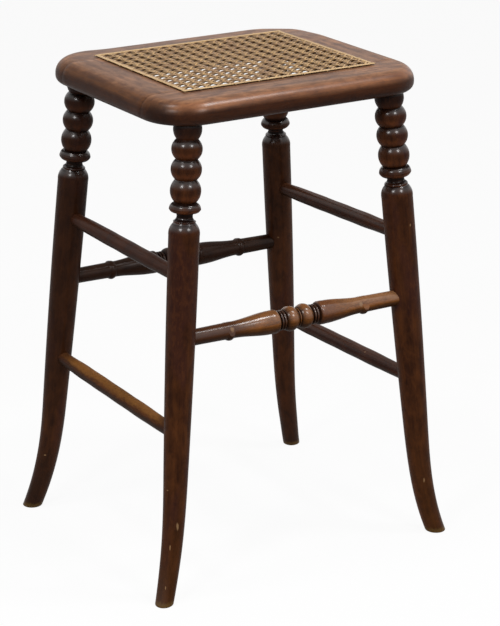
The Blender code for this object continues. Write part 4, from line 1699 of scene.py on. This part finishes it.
# %% Birch finish
def birch_finish(name, along):
    finish = Finish(name, Specular_IOR_Level=0.3)
    wood = Wood(finish, finish.place(), along)
    tone = finish.mix(wood.fibres.ramp(0.3, 0.7), (0.340, 0.215, 0.110), (0.520, 0.360, 0.200))
    tone = finish.mix(wood.pores * 0.3, tone, (0.150, 0.085, 0.045))
    finish.set(Base_Color=tone, Roughness=0.5 + 0.2 * wood.scuffs)
    finish.bump(wood.fibres, 0.0001)
    return finish.material


for kind, name, along in (("dowel_", "birch_Y", Y), ("peg_", "birch_Z", Z)):
    solids = [solid for node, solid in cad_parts.items() if node.startswith(kind)]
    dress(birch_finish(name, along), solids)

# %% [markdown]
# ## Light and floor
#
# The stool stands in a plain white studio. Two soft boxes in front, to the left and right of the camera,
# give the paired highlights on the turned balls and leave round legs dark at their edges. Two smaller
# ones overhead put the long highlight on the seat's edge. What the camera sees of the world and the floor
# is white, and the floor keeps a faint shadow.

# %% Set up the studio
WORLD_FILL = 0.21
LAMP_TARGET = Vector((0, 0, 0.45))
LAMPS = (  # where, side in metres, watts
    ((0.75, -0.62, 2.35), 0.32, 15.5),
    ((-0.80, 0.02, 2.35), 0.30, 10),
    ((-1.57, -0.78, 1.82), 0.42, 15),
    ((0.26, -1.74, 1.82), 0.42, 15),
)


def light_world():
    world = bpy.data.worlds.new("studio")
    bpy.context.scene.world = world
    sky = NodeTree(world)
    strength = sky.add("MapRange", {}, {"Value": sky.looked_at(), "To Min": WORLD_FILL, "To Max": 1})
    sky.join(sky.nodes["Background"], {"Color": (1, 1, 1, 1), "Strength": strength})


def hang_lamp(place, side, watts):
    turn = (LAMP_TARGET - Vector(place)).to_track_quat("-Z", "Y").to_euler()
    bpy.ops.object.light_add(type="AREA", location=place, rotation=turn)
    lamp = bpy.context.object
    lamp.data.size = side
    lamp.data.energy = watts


light_world()
for lamp in LAMPS:
    hang_lamp(*lamp)
print(len(LAMPS), "lamps")


# %% Lay the floor
FLOOR_SIZE = 12
PAPER_SHARE = 0.93  # how much of what the camera sees of the floor is plain white


def floor_finish():
    """White to the camera, with a part of its true shade mixed in so that the shadow shows."""
    finish = Finish("floor_white", Roughness=0.6, Specular_IOR_Level=0.1)
    seen = finish.looked_at()
    finish.set(Base_Color=finish.mix(seen, (0.5, 0.5, 0.5), (0.95, 0.95, 0.95)))
    paper = finish.add("Emission", {}, {"Color": (1, 1, 1, 1), "Strength": 1})
    shaded = Wire(finish, finish.shader.outputs[0])
    mixed = finish.add("MixShader", {}, {0: seen * PAPER_SHARE, 1: shaded, 2: paper})
    finish.join(finish.nodes["Material Output"], {"Surface": mixed})
    return finish.material


def lay_floor():
    deselect()
    bpy.ops.mesh.primitive_plane_add(size=FLOOR_SIZE)
    floor = named("floor")
    floor.data.materials.append(floor_finish())


lay_floor()
bpy.context.scene.view_settings.view_transform = "Standard"
